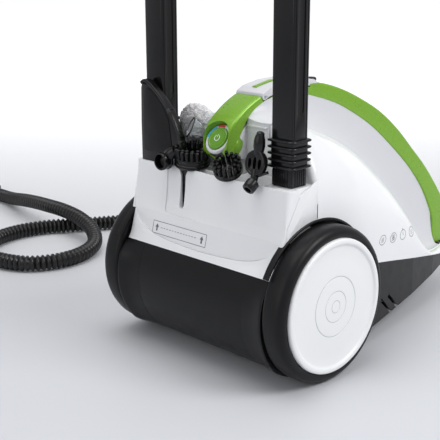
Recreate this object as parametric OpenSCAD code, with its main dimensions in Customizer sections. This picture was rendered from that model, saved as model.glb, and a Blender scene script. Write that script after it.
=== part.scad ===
// Canister steam cleaner: two large rear wheels, a front caster, a domed body under an arched
// carrying band, a lift-out accessory bucket with two extension tubes, and a hose with a gun.
// Row frame: origin under the centre of the machine, -Y to the nose, +Z up.
// Every module draws around the rear axle's plane (y = 0 there), and at_axle() shifts it.

/* [Overall] */
// Length from the nose to the back of the rear wheels
overall_l = 540; // [538:1:542]
// Distance between the outer faces of the two wheel discs
overall_w = 340; // [338:1:342]
// Wall thickness of the moulded shells
wall = 3; // [2.5:0.1:3.5]

/* [Wheels] */
// Outer radius of the rear wheels
wheel_r = 100; // [99.5:0.5:100.5]
// Width of the tyre
tyre_w = 25; // [23:1:27]
// Radius where the disc meets the tyre
disc_r = 86; // [84:1:88]
// Radius of the rear axle
axle_r = 6; // [5:0.5:7]
// Radius of the caster wheel
caster_r = 17; // [16:0.5:17.5]

/* [Casing] */
// Radius of the barrel-shaped belly
belly_r = 93; // [92:0.5:94]
// Height of the belly's flat bottom above the floor
belly_clear = 14; // [13:1:16]
// Half the width of the casing between the wheels
casing_hw = 131; // [130:0.5:131.5]

/* [Bucket and tubes] */
// Height of the bucket's rim
rim_z = 249; // [248:1:250]
// Half the width of the bucket and of the body beside it
bucket_hw = 138; // [137:0.5:139]
// Distance of each extension tube from the middle
tube_x = 113.5; // [113:0.5:114]
// Width of an extension tube
tube_w = 34; // [33:0.5:35]
// Depth of an extension tube
tube_d = 28; // [27:0.5:29]
// Height of the tops of the extension tubes
tube_top = 700; // [680:10:720]
// Radius of the round steam passage in each tube's top
tube_bore_r = 9; // [8:0.5:9.5]

/* [Controls] */
// Radius of the regulator's housing
dial_r = 27; // [26:0.5:28]
// Radius of the turning regulator ring
knob_r = 21; // [20:0.5:22]
// Radius of the push button in the middle of the regulator
button_r = 11.5; // [11:0.5:12]
// Upward tilt of the regulator's axis
knob_tilt = 35; // [34:1:36]

/* [Hose] */
// Outer diameter of the corrugated hose
hose_d = 27; // [26:0.5:27.5]

/* [Hidden] */
$fn = 64;
fit = 0.05;                                 // running clearance of a shaft in its bore
gap = 0.4;                                  // clearance between parts that slide past
axle_y = overall_l / 2 - wheel_r;           // the rear axle in the row frame
axle_z = wheel_r;
nose_y = -overall_l + wheel_r;              // the nose, counted from the axle
disc_face = overall_w / 2;
tyre_out = disc_face - 5;
tyre_in = tyre_out - tyre_w;
arch_r = wheel_r + 18.5;                    // outer radius of the wheel arch
arch_in = wheel_r + 5;                      // inner radius of the wheel arch
arch_x0 = casing_hw + 0.2;                  // inner side of the wheel arch
arch_x1 = tyre_in + 9;                      // outer side, over the tyre's inner edge
belly_z = belly_r + 0.5;                    // height of the belly's own axis
white_c = [0.95, 0.95, 0.96];
black_c = [0.09, 0.09, 0.1];
green_c = [0.42, 0.66, 0.13];
grey_c = [0.8, 0.81, 0.83];
steel_c = [0.7, 0.71, 0.73];

// Side outlines, [y, z] from the axle
split_line = [[-470, 60], [-395, 61], [-120, 119], [-60, 147], [45, 147], [60, 143],
    [120, 143]];
tray_side = [[30, belly_clear], [-60, belly_clear], [-163, 24], [-370, 46], [-425, 44],
    [nose_y, 46], [nose_y, 66], [-405, 80], [-120, 160], [30, 160]];
tray_plan = [[casing_hw, 40], [casing_hw, -70], [126, -120], [120, -160], [104, -259],
    [88, -335], [72, -392], [52, -427], [30, nose_y]];
// Dome sections: [y, height of the lip, half width at the lip, half width below, and the
// height up to which the side stands upright]
dome_sections = [[4, 313, 80, 138, 225], [-19, 311, 80, 138, 222], [-65, 296, 80, 136, 205],
    [-117, 273, 80, 130, 165], [-192, 219, 80, 116, 130], [-259, 157, 79, 104, 100],
    [-302, 106, 78, 95, 86], [-336, 78, 76, 88, 74], [-400, 70, 58, 68, 64],
    [-434, 68.5, 45, 50, 64]];
band_side = concat(
    [[31, 270], [17, 296], [10, 308], [-5, 324], [-31, 335], [-60, 340], [-96, 336], [-170, 315],
        [-246, 273], [-320, 214], [-364, 168], [-396, 113], [-401, 69]],
    [[-438, 69], [-438, 112], [-415, 151], [-374, 198], [-317, 253], [-264, 294],
        [-192, 330], [-126, 350], [-95, 353], [-60, 351], [-30, 345], [0, 333],
        [24, 318], [36, 306], [42, 290], [38, 272]]);
band_plan = [[30, 60], [27, -20], [27, -110], [32, -220], [38, -330], [44, -445]];
neck_side = [[1, 266], [1, 318], [10, 308], [17, 296], [22, 286], [14, 266]];
neck_hw_rear = 29;                          // half the width of the panel's support
outlet_z = 52.5;                            // height of the steam outlet in the nose
outlet_r = 7.5;
plug_r = 5.5;

// Regulator: its axis passes through knob_base and points back and up
knob_base = [0, 27, 285];

// Bucket
pod_x0 = 33;                                // inner side of each deep half of the bucket
pod_y0 = 8;                                 // front of the deep halves
bucket_front = 38;                          // front of the bucket's middle
bucket_side = [[pod_y0, 150], [pod_y0, rim_z], [57, rim_z], [61, 202], [72.5, 152],
    [72.5, 144]];
crease = [[bucket_hw, 203], [130, 181], [112, 165], [85, 156], [50, 152], [0, 150]];
seam = [[36, 240], [58, 203]];              // between the bucket's flange and the body
tube_y = 29;
socket_z = rim_z - 50;                      // floor of a tube socket
spigot_w = tube_w - 5;
spigot_d = tube_d - 3;
collar_z0 = rim_z + 22;
collar_z1 = collar_z0 + 39;

// Filler lid
lid_side = [[-24, 335.8], [-21, 337], [-19.8, 341], [-21, 345], [-32, 350.5], [-60, 355.5],
    [-95, 357], [-122, 354], [-128, 350], [-128, 345], [-95, 347.5], [-60, 345.5],
    [-34, 340]];
lid_hinge = [0, -25, 341];
lid_seat = [[-27, 335], [-36, 339], [-60, 344.5], [-95, 346.5], [-128.6, 344.4],
    [-128.6, 380], [-17.5, 380], [-17.5, 340], [-22, 335]];
lid_hw = 24;
hinge_r = 5.4;
neck_hw = 15;                               // half the width of the filler neck
neck_y0 = -108;
neck_y1 = -40;

// Hose route, from the plug on the nose to the gun; [x, y, z] from the axle
hose_r = hose_d / 2;
plug_grip = 57;                             // length of the plug in front of the nose
hose_y = nose_y - plug_grip;                // where the hose leaves its plug
hose_route = [[0, hose_y, outlet_z], [0, hose_y - 8, outlet_z], [0, hose_y - 16, outlet_z],
    [0, -532, 45], [0, -562, 27], [22, -604, 14], [78, -636, 14], [157, -638, 14],
    [241, -610, 14], [325, -552, 14], [405, -478, 14], [475, -395, 14], [530, -310, 14],
    [569, -239, 14], [603, -178, 14], [632, -130, 14], [644, -75, 14], [634, -20, 14],
    [603, 25, 14], [560, 48, 14], [512, 46, 14], [468, 24, 14], [445, -22, 14], [450, -75, 14],
    [478, -122, 17], [522, -150, 27], [572, -160, 37], [624, -161, 42], [678, -163, 41],
    [732, -169, 37], [785, -178, 30], [835, -190, 21], [872, -198, 16], [900, -200, 15],
    [915, -200, 15], [930, -200, 15]];
gun_at = [930, -200, 15];

module at_axle() translate([0, axle_y, 0]) children();
module across(w) rotate([90, 0, 90]) translate([0, 0, -w / 2]) linear_extrude(w) children();
module side_prism(outline, w) across(w) polygon(outline);
module both_sides() for (s = [-1, 1]) scale_x(s) children();
module scale_x(s) mirror([s < 0 ? 1 : 0, 0, 0]) children();
module x_rod(r, x0, x1) translate([x0, 0, 0]) rotate([0, 90, 0]) cylinder(r = r, h = x1 - x0);
function both(outline) = concat(outline, [for (i = [len(outline) - 1:-1:0])
    [-outline[i][0], outline[i][1]]]);
function inset(outline, d) = [for (p = outline) [p[0] - d * sign(p[0]), p[1]]];

// --- Casing ---------------------------------------------------------------------------------
module above_split() side_prism(concat(split_line, [[120, 420], [-470, 420]]), 400);
module below_split() side_prism(concat(split_line, [[120, 0], [-470, 0]]), 400);
module belly_bar(r, hw) translate([0, 0, belly_z]) x_rod(r, -hw, hw);
module casing_body(d) {
    intersection() {
        union() {
            belly_bar(belly_r - d, casing_hw - d);
            intersection() {
                translate([0, 0, d * 1.2]) side_prism(tray_side, 300);
                translate([0, d, 0]) linear_extrude(300) polygon(both(inset(tray_plan, d)));
            }
        }
        translate([-200, -500, belly_clear + d]) cube([400, 700, 300]);
    }
}
module vent_slots() for (i = [0:1]) translate([0, -178 - 22 * i, 40]) rotate([40, 0, 0])
    translate([60, -22, -2.5]) cube([100, 44, 5]);
module lower_casing() color(black_c) difference() {
    intersection() {
        union() {
            difference() {
                casing_body(0);
                casing_body(wall);
            }
            both_sides() translate([0, 0, axle_z]) x_rod(15, casing_hw - 20, casing_hw - 1);
            translate([0, -330, 41]) cylinder(r = 13, h = 40);
        }
        below_split();
    }
    translate([0, 0, axle_z]) x_rod(axle_r + fit, -160, 160);
    translate([0, -330, 30]) cylinder(r = caster_stem_r + fit, h = 45);
    both_sides() vent_slots();
    translate([0, nose_y - 5, outlet_z]) rotate([-90, 0, 0]) cylinder(r = outlet_r + fit, h = 30);
    translate(gland_at) x_rod(8 + fit, -20, 20);
}
gland_at = [113, -180, 62];                 // mains cord gland, in the casing's left side
module arch_sector(d) across(400)
    polygon([[2 * d, -d], [60 + 3 * d, 88], [22 + d, 118], [22 + d, 180], [-150, 150], [-150, 18]]);
module wheel_arch() color(black_c) translate([0, 0, axle_z]) intersection() {
    difference() {
        x_rod(arch_r, arch_x0, arch_x1);
        x_rod(arch_in, arch_x0 + 2, arch_x1 + 1);
        x_rod(arch_r - wall, arch_x0 + 2, tyre_in - 4);
        x_rod(20, 0, 200);
    }
    arch_sector(0);
}
module wheel_arch_left() wheel_arch();
module wheel_arch_right() mirror([1, 0, 0]) wheel_arch();

// --- Dome -----------------------------------------------------------------------------------
module dome_slice(s, d) translate([0, s[0] + (s[0] > 0 ? -d : 0), 0]) rotate([90, 0, 0])
    linear_extrude(0.1) polygon(both([[s[3] - d, 40], [s[3] - d, min(s[4], s[1] - d - 4)],
        [s[2] + 0.6 * (s[3] - s[2]) - d, s[4] + 0.62 * (s[1] - s[4]) - d],
        [s[2] - d, s[1] - d]]));
module dome_body(d) hull() for (s = dome_sections) dome_slice(s, d);
module dome_shell() intersection() {
    difference() {
        dome_body(0);
        dome_body(wall);
    }
    above_split();
}
module top_zone() translate([-77, -460, 0]) cube([154, 461, 400]);
module panel_support() difference() {
    side_prism(neck_side, 2 * neck_hw_rear);
    translate([0, -wall, -wall]) side_prism(neck_side, 2 * (neck_hw_rear - wall));
}
module wheel_space(d) both_sides() translate([0, 0, axle_z + d]) intersection() {
    x_rod(arch_r + 0.3 + d, casing_hw - d, 200);
    arch_sector(1);
}
module cheek_wall() intersection() {
    side_prism([[3, 190], [3, 256], [8, 252], seam[0], seam[1], [59.5, 189], [57, 187]],
        2 * bucket_hw);
    both_sides() translate([bucket_hw - wall, 0, 0]) cube([wall, 100, 400]);
}
module shell_side() difference() {
    union() {
        difference() {
            dome_shell();
            top_zone();
        }
        panel_support();
        cheek_wall();
    }
    wheel_space(0.3);
    knob_axis() translate([0, 0, -12]) cylinder(r = dial_r + gap, h = 60);
    side_prism(band_side, 2 * 31);
}
module body_shell_left() color(white_c) intersection() {
    shell_side();
    translate([0, -500, 0]) cube([200, 700, 400]);
}
module body_shell_right() color(white_c) intersection() {
    shell_side();
    translate([-200, -500, 0]) cube([200, 700, 400]);
}
module rear_panel() color(white_c) difference() {
    side_prism([[71, 143], [60.2, 190], [58.2, 203], [61, 203], [75.5, 150], [79.5, 143]],
        2 * bucket_hw);
    above_crease(0);
}
module above_crease(d) translate([0, 200, d]) rotate([90, 0, 0]) linear_extrude(300)
    polygon(concat(both(crease), [[-200, 203], [-200, 300], [200, 300], [200, 203]]));
module filler_hole(d) translate([-neck_hw - d, neck_y0 - d, 250])
    cube([2 * (neck_hw + d), neck_y1 - neck_y0 + 2 * d, 120]);
recess_under = [[-399, 60], [-336, 71], [-302, 101], [-259, 151], [-192, 213], [-117, 267],
    [-65, 290], [-19, 305], [4, 307]];
module recess_cover() color(grey_c) difference() {
    union() {
        intersection() {
            dome_shell();
            top_zone();
        }
        intersection() {
            side_prism(concat([for (i = [1:12]) band_side[i]], recess_under), 46);
            translate([-100, -470, 0]) cube([200, 471, 500]);
        }
    }
    translate([0, 0, -6]) side_prism(concat([for (i = [1:12]) band_side[i]], recess_under), 40);
    band_outer();
    filler_hole(0.5);
}

// --- Band and controls ----------------------------------------------------------------------
module knob_axis() translate(knob_base) rotate([knob_tilt - 90, 0, 0]) children();
module band_outer() intersection() {
    side_prism(band_side, 100);
    linear_extrude(400) polygon(both(band_plan));
}
module band_hollow() intersection() {
    across(100) offset(delta = -wall) polygon(band_side);
    linear_extrude(400) polygon(both(inset(band_plan, wall)));
}
module handle_band() color(green_c) difference() {
    union() {
        difference() {
            band_outer();
            band_hollow();
        }
        intersection() {
            band_outer();
            translate([-50, -160, 300]) cube([100, 145, 100]);
        }
        knob_axis() translate([0, 0, -12]) cylinder(r = dial_r, h = 14);
    }
    filler_hole(0.5);
    knob_axis() translate([0, 0, -8]) cylinder(r = knob_r + gap, h = 60);
    side_prism(lid_seat, 2 * (lid_hw + 0.6));
    translate(lid_hinge) x_rod(hinge_r + 0.6, -lid_hw - 0.6, lid_hw + 0.6);
    translate(lid_hinge) x_rod(1.5, -40, 40);
    translate([0, -143, 320]) cylinder(r = 6 + fit, h = 60);
    translate([0, -143, 345]) cylinder(r = 8.4, h = 30);
}
module dial_ring() color(grey_c) knob_axis() difference() {
    translate([0, 0, -8]) cylinder(r = knob_r + gap, h = 4);
    translate([0, 0, -9]) cylinder(r = 6, h = 8);
}
module regulator_knob() color([0.3, 0.31, 0.33]) knob_axis() difference() {
    translate([0, 0, -3.6]) cylinder(r = knob_r, h = 15.6);
    translate([0, 0, -4]) cylinder(r = 8, h = 10);
    translate([0, 0, 4]) cylinder(r = button_r + fit, h = 10);
    for (a = [0:15:345]) rotate(a) translate([knob_r + 0.6, 0, -2]) cylinder(r = 1.2, h = 8);
}
module power_button() color(green_c) knob_axis() difference() {
    union() {
        translate([0, 0, 7]) cylinder(r = button_r, h = 7);
        translate([0, 0, -1]) cylinder(r = 7, h = 9);
    }
    translate([0, 0, 13.2]) difference() {
        cylinder(r = 6, h = 2);
        cylinder(r = 4.8, h = 2);
    }
}
module filler_lid() color(grey_c) difference() {
    side_prism(lid_side, 2 * lid_hw);
    translate(lid_hinge) x_rod(1.5 + fit, -30, 30);
    side_prism([[-38, 330], [-38, 346], [-60, 350], [-95, 352], [-116, 350], [-116, 330]], 36);
    side_prism(concat(trim_under, [[-122, 370], [-36, 370]]), 12);
}
trim_under = [[-36, 350], [-60, 353.8], [-95, 355.3], [-122, 352.8]];
module lid_trim() color(green_c) side_prism(concat(trim_under, [[-122, 354.6], [-95, 358.2],
    [-60, 356.6], [-36, 352.4]]), 11.6);
module lid_pin() color(steel_c) translate(lid_hinge) x_rod(1.5, -26.5, 26.5);
module release_button() color(black_c) translate([0, -143, 0]) {
    translate([0, 0, 340]) cylinder(r = 6, h = 8.6);
    translate([0, 0, 348.6]) cylinder(r = 8, h = 5);
}

// --- Inside ---------------------------------------------------------------------------------
module water_tank() color([0.75, 0.82, 0.88]) difference() {
    union() {
        translate([-60, -125, 205]) cube([120, 100, 55]);
        translate([-neck_hw, neck_y0, 255]) cube([2 * neck_hw, neck_y1 - neck_y0, 85]);
    }
    translate([-57, -122, 208]) cube([114, 94, 49]);
    translate([-neck_hw + 2, neck_y0 + 2, 250])
        cube([2 * neck_hw - 4, neck_y1 - neck_y0 - 4, 100]);
}
boiler_y = -75;
module boiler_half(z0, h) translate([0, boiler_y, z0]) difference() {
    cylinder(r = 62, h = h);
    translate([0, 0, z0 > 120 ? -1 : wall]) cylinder(r = 59, h = h - 2);
}
module boiler_lower() color(steel_c) boiler_half(75, 50);
module boiler_upper() color(steel_c) boiler_half(125, 45);
module heating_element() color([0.5, 0.5, 0.52]) translate([0, boiler_y, 67]) rotate_extrude()
    translate([40, 4]) circle(r = 4);
module thermostat() color(black_c) translate([0, boiler_y, 170]) cylinder(r = 11, h = 14);
module pump() color(steel_c) translate([0, -190, 80]) {
    translate([-18, -25, 0]) cube([36, 50, 42]);
    translate([0, 25, 21]) rotate([-90, 0, 0]) cylinder(r = 9, h = 14);
}
module solenoid_valve() color(steel_c) translate([45, boiler_y, 170]) {
    cylinder(r = 7, h = 8);
    translate([-10, -12, 8]) cube([20, 24, 22]);
}
module circuit_board() color([0.1, 0.35, 0.2]) translate([-75, -215, 62]) cube([40, 60, 1.6]);
module water_pipe() color([0.85, 0.85, 0.9]) translate([0, -151, 101]) rotate([-90, 0, 0])
    cylinder(r = 4, h = 14);
module pipe_run(axis, from, len) translate(from)
    rotate(axis == "x" ? [0, 90, 0] : axis == "y" ? [-90, 0, 0] : [0, 0, 0])
        cylinder(r = 4, h = len);
module pipe_elbow(at) translate(at - [5, 5, 5]) cube(10);
module steam_pipe() color([0.8, 0.4, 0.3]) {
    pipe_run("y", [0, nose_y + 22, outlet_z + 0.3], 18);
    pipe_elbow([0, -398, 54.2]);
    pipe_run("x", [4, -398, 54.6], 18);
    pipe_elbow([26, -398, 54.4]);
    pipe_run("y", [26, -394, 54.8], 225);
    pipe_elbow([26, -165, 55]);
    pipe_run("x", [30, -165, 55.2], 42);
    pipe_elbow([76, -165, 55]);
    pipe_run("z", [76, -165, 59], 127);
    pipe_elbow([76, -165, 190]);
    pipe_run("y", [76, -161, 190], 82);
    pipe_elbow([76, boiler_y, 190]);
    pipe_run("x", [55.2, boiler_y, 190], 16);
}
module outlet_socket() color(black_c) translate([0, nose_y - 2, outlet_z]) rotate([-90, 0, 0])
    difference() {
        cylinder(r = outlet_r, h = 24);
        translate([0, 0, -1]) cylinder(r = plug_r + fit, h = 20);
    }
module cord_gland() color(black_c) translate(gland_at) difference() {
    union() {
        x_rod(8, -12, 8);
        x_rod(10, 6, 12);
    }
    x_rod(3.8, -20, 20);
}

// --- Bucket and what stands in it -----------------------------------------------------------
bucket_side_x = bucket_hw - wall - gap;     // half the width behind the body's cheeks
module bucket_plan() polygon(both([[bucket_hw, 90], [bucket_hw, 59], [bucket_side_x, 59],
    [bucket_side_x, pod_y0], [pod_x0, pod_y0], [pod_x0, bucket_front], [0, bucket_front]]));
module bucket_flange() intersection() {
    side_prism([seam[0] + [0.8, 0], seam[1] + [0.8, 0], [58, rim_z], [40, rim_z]],
        2 * bucket_hw);
    both_sides() translate([bucket_side_x - 1, 0, 0]) cube([20, 100, 400]);
}
module accessory_bucket() color(white_c) difference() {
    intersection() {
        side_prism(bucket_side, 2 * bucket_hw);
        union() {
            linear_extrude(400) bucket_plan();
            bucket_flange();
        }
        above_crease(gap);
    }
    wheel_space(0.5);
    translate([50, 46, 185]) cube([80, 8, 100]);
    both_sides() translate([tube_x, tube_y, socket_z])
        translate([-(spigot_w + gap) / 2, -(spigot_d + gap) / 2, 0])
            cube([spigot_w + gap, spigot_d + gap, 100]);
    both_sides() translate([pod_x0 + 3, pod_y0 + 3, 185])
        cube([tube_x - spigot_w / 2 - 3 - gap - pod_x0 - 3, 43, 100]);
    translate([-pod_x0 - 4, bucket_front + 3, 185]) cube([2 * pod_x0 + 8, 13, 100]);
    intersection() {
        side_prism([[55.2, 255], [59.2, 202], [62.4, 187], [90, 187], [90, 255]], 300);
        translate([6, 0, 0]) cube([68, 100, 400]);
    }
    translate([42, 50, 200]) cube([6, 30, 100]);
    translate([45, 50, 200]) rotate([-90, 0, 0]) cylinder(r = 3, h = 30);
}
module tube() color(black_c) translate([0, tube_y, 0]) difference() {
    union() {
        translate([-tube_w / 2, -tube_d / 2, collar_z1]) cube([tube_w, tube_d, tube_top - collar_z1]);
        translate([-spigot_w / 2, -spigot_d / 2, socket_z + 2])
            cube([spigot_w, spigot_d, collar_z1 - socket_z]);
    }
    translate([0, 0, collar_z0]) cylinder(r = tube_bore_r, h = tube_top);
    translate([0, 0, socket_z - 5]) cylinder(r = tube_bore_r - 1, h = tube_top);
}
module tube_collar() color(black_c) translate([0, tube_y, 0]) difference() {
    for (i = [0:4]) translate([0, 0, collar_z0 + 7.8 * i]) {
        translate([-20.5, -17.5, 0]) cube([41, 35, 4.2]);
        translate([-18, -15, 4]) cube([36, 30, i < 4 ? 4 : 3.8]);
    }
    translate([-spigot_w / 2, -spigot_d / 2, collar_z0 - 1]) cube([spigot_w, spigot_d, 60]);
}
module tube_latch() color(grey_c) translate([0, tube_y + tube_d / 2 - 2, tube_top - 40])
    rotate([-90, 0, 0]) cylinder(r = 5, h = 4);
module tube_left() translate([tube_x, 0, 0]) tube_with_latch_hole();
module tube_right() translate([-tube_x, 0, 0]) tube_with_latch_hole();
module tube_with_latch_hole() difference() {
    tube();
    translate([0, tube_y + tube_d / 2 - 4, tube_top - 40]) rotate([-90, 0, 0])
        cylinder(r = 5 + fit, h = 10);
}
module tube_collar_left() translate([tube_x, 0, 0]) tube_collar();
module tube_collar_right() translate([-tube_x, 0, 0]) tube_collar();
module tube_latch_left() translate([tube_x, 0, 0]) tube_latch();
module tube_latch_right() translate([-tube_x, 0, 0]) tube_latch();

module squeegee_head() color(black_c) translate([0, 53.5, 0]) rotate([90, 0, 0])
    linear_extrude(6) polygon([[126, 190], [126, 250], [123, 300], [119, 350], [110, 357],
        [97, 350], [80, 336], [66, 318], [57, 295], [51, 280], [76, 277], [76, 250], [100, 240],
        [100, 190]]);
module elbow_nozzle() color(black_c) {
    translate([78, 60, 263]) rotate([-90, 0, 0]) cylinder(r = 11.5, h = 14);
    translate([78, 62, 263]) rotate([0, -45, 0]) cylinder(r = 7, h = 17);
}
brush_at = [50, 34, 252];
module round_brush() color(black_c) translate(brush_at) {
    cylinder(r = 21, h = 4);
    translate([0, 0, 4]) cylinder(r = 19, h = 3);
    translate([0, 0, 7]) cylinder(r = 20, h = 4);
    translate([0, 0, -45]) cylinder(r = 8, h = 46);
}
module round_brush_tufts() color(black_c) translate(brush_at + [0, 0, 11]) difference() {
    cylinder(r = 20, h = 13);
    translate([0, 0, 4]) cylinder(r = 10, h = 12);
}
small_at = [-40, 48, 258];
module small_brush() color(black_c) translate(small_at) rotate([-30, 0, 0]) {
    cylinder(r = 16.5, h = 7);
    translate([0, 0, -8]) cylinder(r = 7, h = 9);
}
module small_brush_tufts() color(black_c) translate(small_at) rotate([-30, 0, 0])
    translate([0, 0, 7]) cylinder(r = 15, h = 11);
module detail_nozzle() color(black_c) translate([-86, 0, 0]) {
    translate([0, 57, 276]) rotate([-80, 0, 0]) translate([0, 0, -4]) difference() {
        cylinder(r = 13, h = 8);
        for (x = [-7, 0, 7]) translate([x, 0, -1]) cylinder(r = 2.5, h = 10);
    }
    translate([0, 53, 287]) cylinder(r = 6, h = 25);
    translate([0, 65, 244]) cylinder(r = 6.5, h = 22);
}
module filling_cup() color([0.8, 0.82, 0.85]) translate([80, 34.5, 283]) difference() {
    cylinder(r1 = 6, r2 = 9.5, h = 28);
    translate([0, 0, 2]) cylinder(r1 = 4.8, r2 = 8.3, h = 28);
}
module cotton_bonnet() color([0.92, 0.92, 0.92]) {
    translate([73, 12, 195]) cube([19, 12.5, 95]);
    translate([33, 6, 284]) cube([59, 18.5, 34]);
}

// --- Wheels ---------------------------------------------------------------------------------
module tyre() color(black_c) translate([0, 0, axle_z]) rotate([0, 90, 0]) rotate_extrude($fn = 96)
    polygon([[disc_r, tyre_in], [wheel_r - 5, tyre_in], [wheel_r - 1.5, tyre_in + 1.5],
        [wheel_r, tyre_in + 5], [wheel_r, tyre_out - 5], [wheel_r - 1.5, tyre_out - 1.5],
        [wheel_r - 5, tyre_out], [disc_r, tyre_out]]);
module disc() color(white_c) translate([0, 0, axle_z]) rotate([0, 90, 0]) rotate_extrude($fn = 96)
    polygon([[axle_r + fit, tyre_in - 5], [15, tyre_in - 5], [15, 158], [disc_r - 4, 160],
        [disc_r - 4, tyre_in + 3], [disc_r, tyre_in + 3], [disc_r, disc_face - 2],
        [disc_r - 2, disc_face], [disc_r - 6, disc_face], [disc_r - 9, disc_face - 2.5],
        [40, disc_face - 1], [0, disc_face - 0.6], [0, 163], [axle_r + fit, 163]]);
module tyre_left() tyre();
module tyre_right() mirror([1, 0, 0]) tyre();
module disc_left() disc();
module disc_right() mirror([1, 0, 0]) disc();
module rear_axle() color(steel_c) translate([0, 0, axle_z]) x_rod(axle_r, -162, 162);
module axle_clips() color(steel_c) both_sides() translate([0, 0, axle_z]) difference() {
    x_rod(10, casing_hw + 0.3, casing_hw + 2);
    x_rod(axle_r, casing_hw, casing_hw + 3);
}
caster_at = [0, -330, 0];
caster_trail = 14;
caster_stem_r = 5;
module caster_fork() color(black_c) translate(caster_at) difference() {
    union() {
        translate([0, 0, 35.5]) cylinder(r = 12, h = 5);
        translate([0, 0, 35.5]) cylinder(r = caster_stem_r, h = 36);
        for (s = [-1, 1]) translate([s * 11.5 - 1.75, caster_trail - 8, 10]) cube([3.5, 16, 27]);
        translate([-13.25, -2, 35.5]) cube([26.5, caster_trail + 10, 3]);
    }
    translate([0, caster_trail, caster_r]) x_rod(2.5, -20, 20);
}
module caster_wheel() color(black_c) translate(caster_at) translate([0, caster_trail, caster_r])
    difference() {
        x_rod(caster_r, -9, 9);
        x_rod(2.5 + fit, -10, 10);
    }
module caster_pin() color(steel_c) translate(caster_at) translate([0, caster_trail, caster_r])
    x_rod(2.5, -13.2, 13.2);

// --- Hose and gun ---------------------------------------------------------------------------
module hose_plug() color(black_c) translate([0, hose_y, outlet_z]) rotate([-90, 0, 0]) {
    cylinder(r = hose_r, h = plug_grip - 20);
    translate([0, 0, plug_grip - 20]) cylinder(r = 16, h = 17.5);
    translate([0, 0, plug_grip - 3]) cylinder(r = plug_r, h = 16);
}
sides = 8;
per_span = 2;
function unit(v) = v / norm(v);
function spline(p, i, t) =
    let (a = p[max(i - 1, 0)], b = p[i], c = p[i + 1], d = p[min(i + 2, len(p) - 1)])
    0.5 * (2 * b + (c - a) * t + (2 * a - 5 * b + 4 * c - d) * t * t
        + (3 * b - a - 3 * c + d) * t * t * t);
function path_points(p) = concat([for (i = [0:len(p) - 2], k = [0:per_span - 1])
    spline(p, i, k / per_span)], [p[len(p) - 1]]);
function ring_at(q, i, r) =
    let (t = unit(q[min(i + 1, len(q) - 1)] - q[max(i - 1, 0)]),
        side = unit(cross(t, [0, 0, 1])), up = cross(side, t))
    [for (k = [0:sides - 1]) q[i] + r * (cos(360 * (k + 0.5) / sides) * side
        + sin(360 * (k + 0.5) / sides) * up)];
module swept_tube(p, r) {
    q = path_points(p);
    n = len(q);
    polyhedron(
        points = [for (i = [0:n - 1]) each ring_at(q, i, r)],
        faces = concat([[for (k = [sides - 1:-1:0]) k]],
            [for (i = [0:n - 2], k = [0:sides - 1]) let (m = (k + 1) % sides)
                [i * sides + m, (i + 1) * sides + m, (i + 1) * sides + k, i * sides + k]],
            [[for (k = [0:sides - 1]) (n - 1) * sides + k]]));
}
module steam_hose() color(black_c) swept_tube(hose_route, hose_r);
module at_gun() translate(gun_at) children();
gun_side = [[0, -14], [0, 14], [60, 15], [185, 15], [185, -9], [160, -13], [70, -13],
    [40, -14]];
trigger_side = [[84, -4], [146, -9], [150, -12], [140, -17], [100, -24], [84, -20]];
trigger_pivot = [146, -6.5, 0];
gun_half_t = 15;                            // half the thickness of the gun
module gun_half(up) color(black_c) at_gun() difference() {
    translate([0, 0, up ? 0 : -gun_half_t]) linear_extrude(gun_half_t) polygon(gun_side);
    translate([60, -10, -gun_half_t + wall]) cube([118, 22, 2 * (gun_half_t - wall)]);
    translate([80, -30, -6.4]) cube([74, 28, 12.8]);
    translate([100, 3, up ? 8 : -20]) cube([18.4, 8.4, up ? 20 : 1]);
    translate(trigger_pivot) cylinder(r = 2, h = 40, center = true);
    x_rod(gun_neck_r, 177, 200);
}
module gun_shell_left() gun_half(true);
module gun_shell_right() gun_half(false);
module gun_trigger() color(green_c) at_gun() difference() {
    translate([0, 0, -6]) linear_extrude(12) polygon(trigger_side);
    translate(trigger_pivot) cylinder(r = 2 + fit, h = 40, center = true);
}
module gun_pin() color(steel_c) at_gun() translate(trigger_pivot)
    cylinder(r = 2, h = 2 * (gun_half_t - wall), center = true);
module gun_lock() color(grey_c) at_gun() translate([100.2, 3.2, 12.5]) cube([12, 8, 4.5]);
gun_neck_r = 8.6;                           // the outlet's neck inside the gun
module gun_outlet() color(black_c) at_gun() {
    x_rod(gun_neck_r, 178, 188);
    x_rod(9, 186, 216);
}

at_axle() lower_casing();
at_axle() wheel_arch_left();
at_axle() wheel_arch_right();
at_axle() body_shell_left();
at_axle() body_shell_right();
at_axle() rear_panel();
at_axle() recess_cover();
at_axle() handle_band();
at_axle() dial_ring();
at_axle() regulator_knob();
at_axle() power_button();
at_axle() filler_lid();
at_axle() lid_trim();
at_axle() lid_pin();
at_axle() release_button();
at_axle() water_tank();
at_axle() boiler_lower();
at_axle() boiler_upper();
at_axle() heating_element();
at_axle() thermostat();
at_axle() pump();
at_axle() solenoid_valve();
at_axle() circuit_board();
at_axle() water_pipe();
at_axle() steam_pipe();
at_axle() outlet_socket();
at_axle() cord_gland();
at_axle() accessory_bucket();
at_axle() tube_left();
at_axle() tube_right();
at_axle() tube_collar_left();
at_axle() tube_collar_right();
at_axle() tube_latch_left();
at_axle() tube_latch_right();
at_axle() squeegee_head();
at_axle() elbow_nozzle();
at_axle() round_brush();
at_axle() round_brush_tufts();
at_axle() small_brush();
at_axle() small_brush_tufts();
at_axle() detail_nozzle();
at_axle() filling_cup();
at_axle() cotton_bonnet();
at_axle() tyre_left();
at_axle() tyre_right();
at_axle() disc_left();
at_axle() disc_right();
at_axle() rear_axle();
at_axle() axle_clips();
at_axle() caster_fork();
at_axle() caster_wheel();
at_axle() caster_pin();
at_axle() hose_plug();
at_axle() steam_hose();
at_axle() gun_shell_left();
at_axle() gun_shell_right();
at_axle() gun_trigger();
at_axle() gun_pin();
at_axle() gun_lock();
at_axle() gun_outlet();
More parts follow.
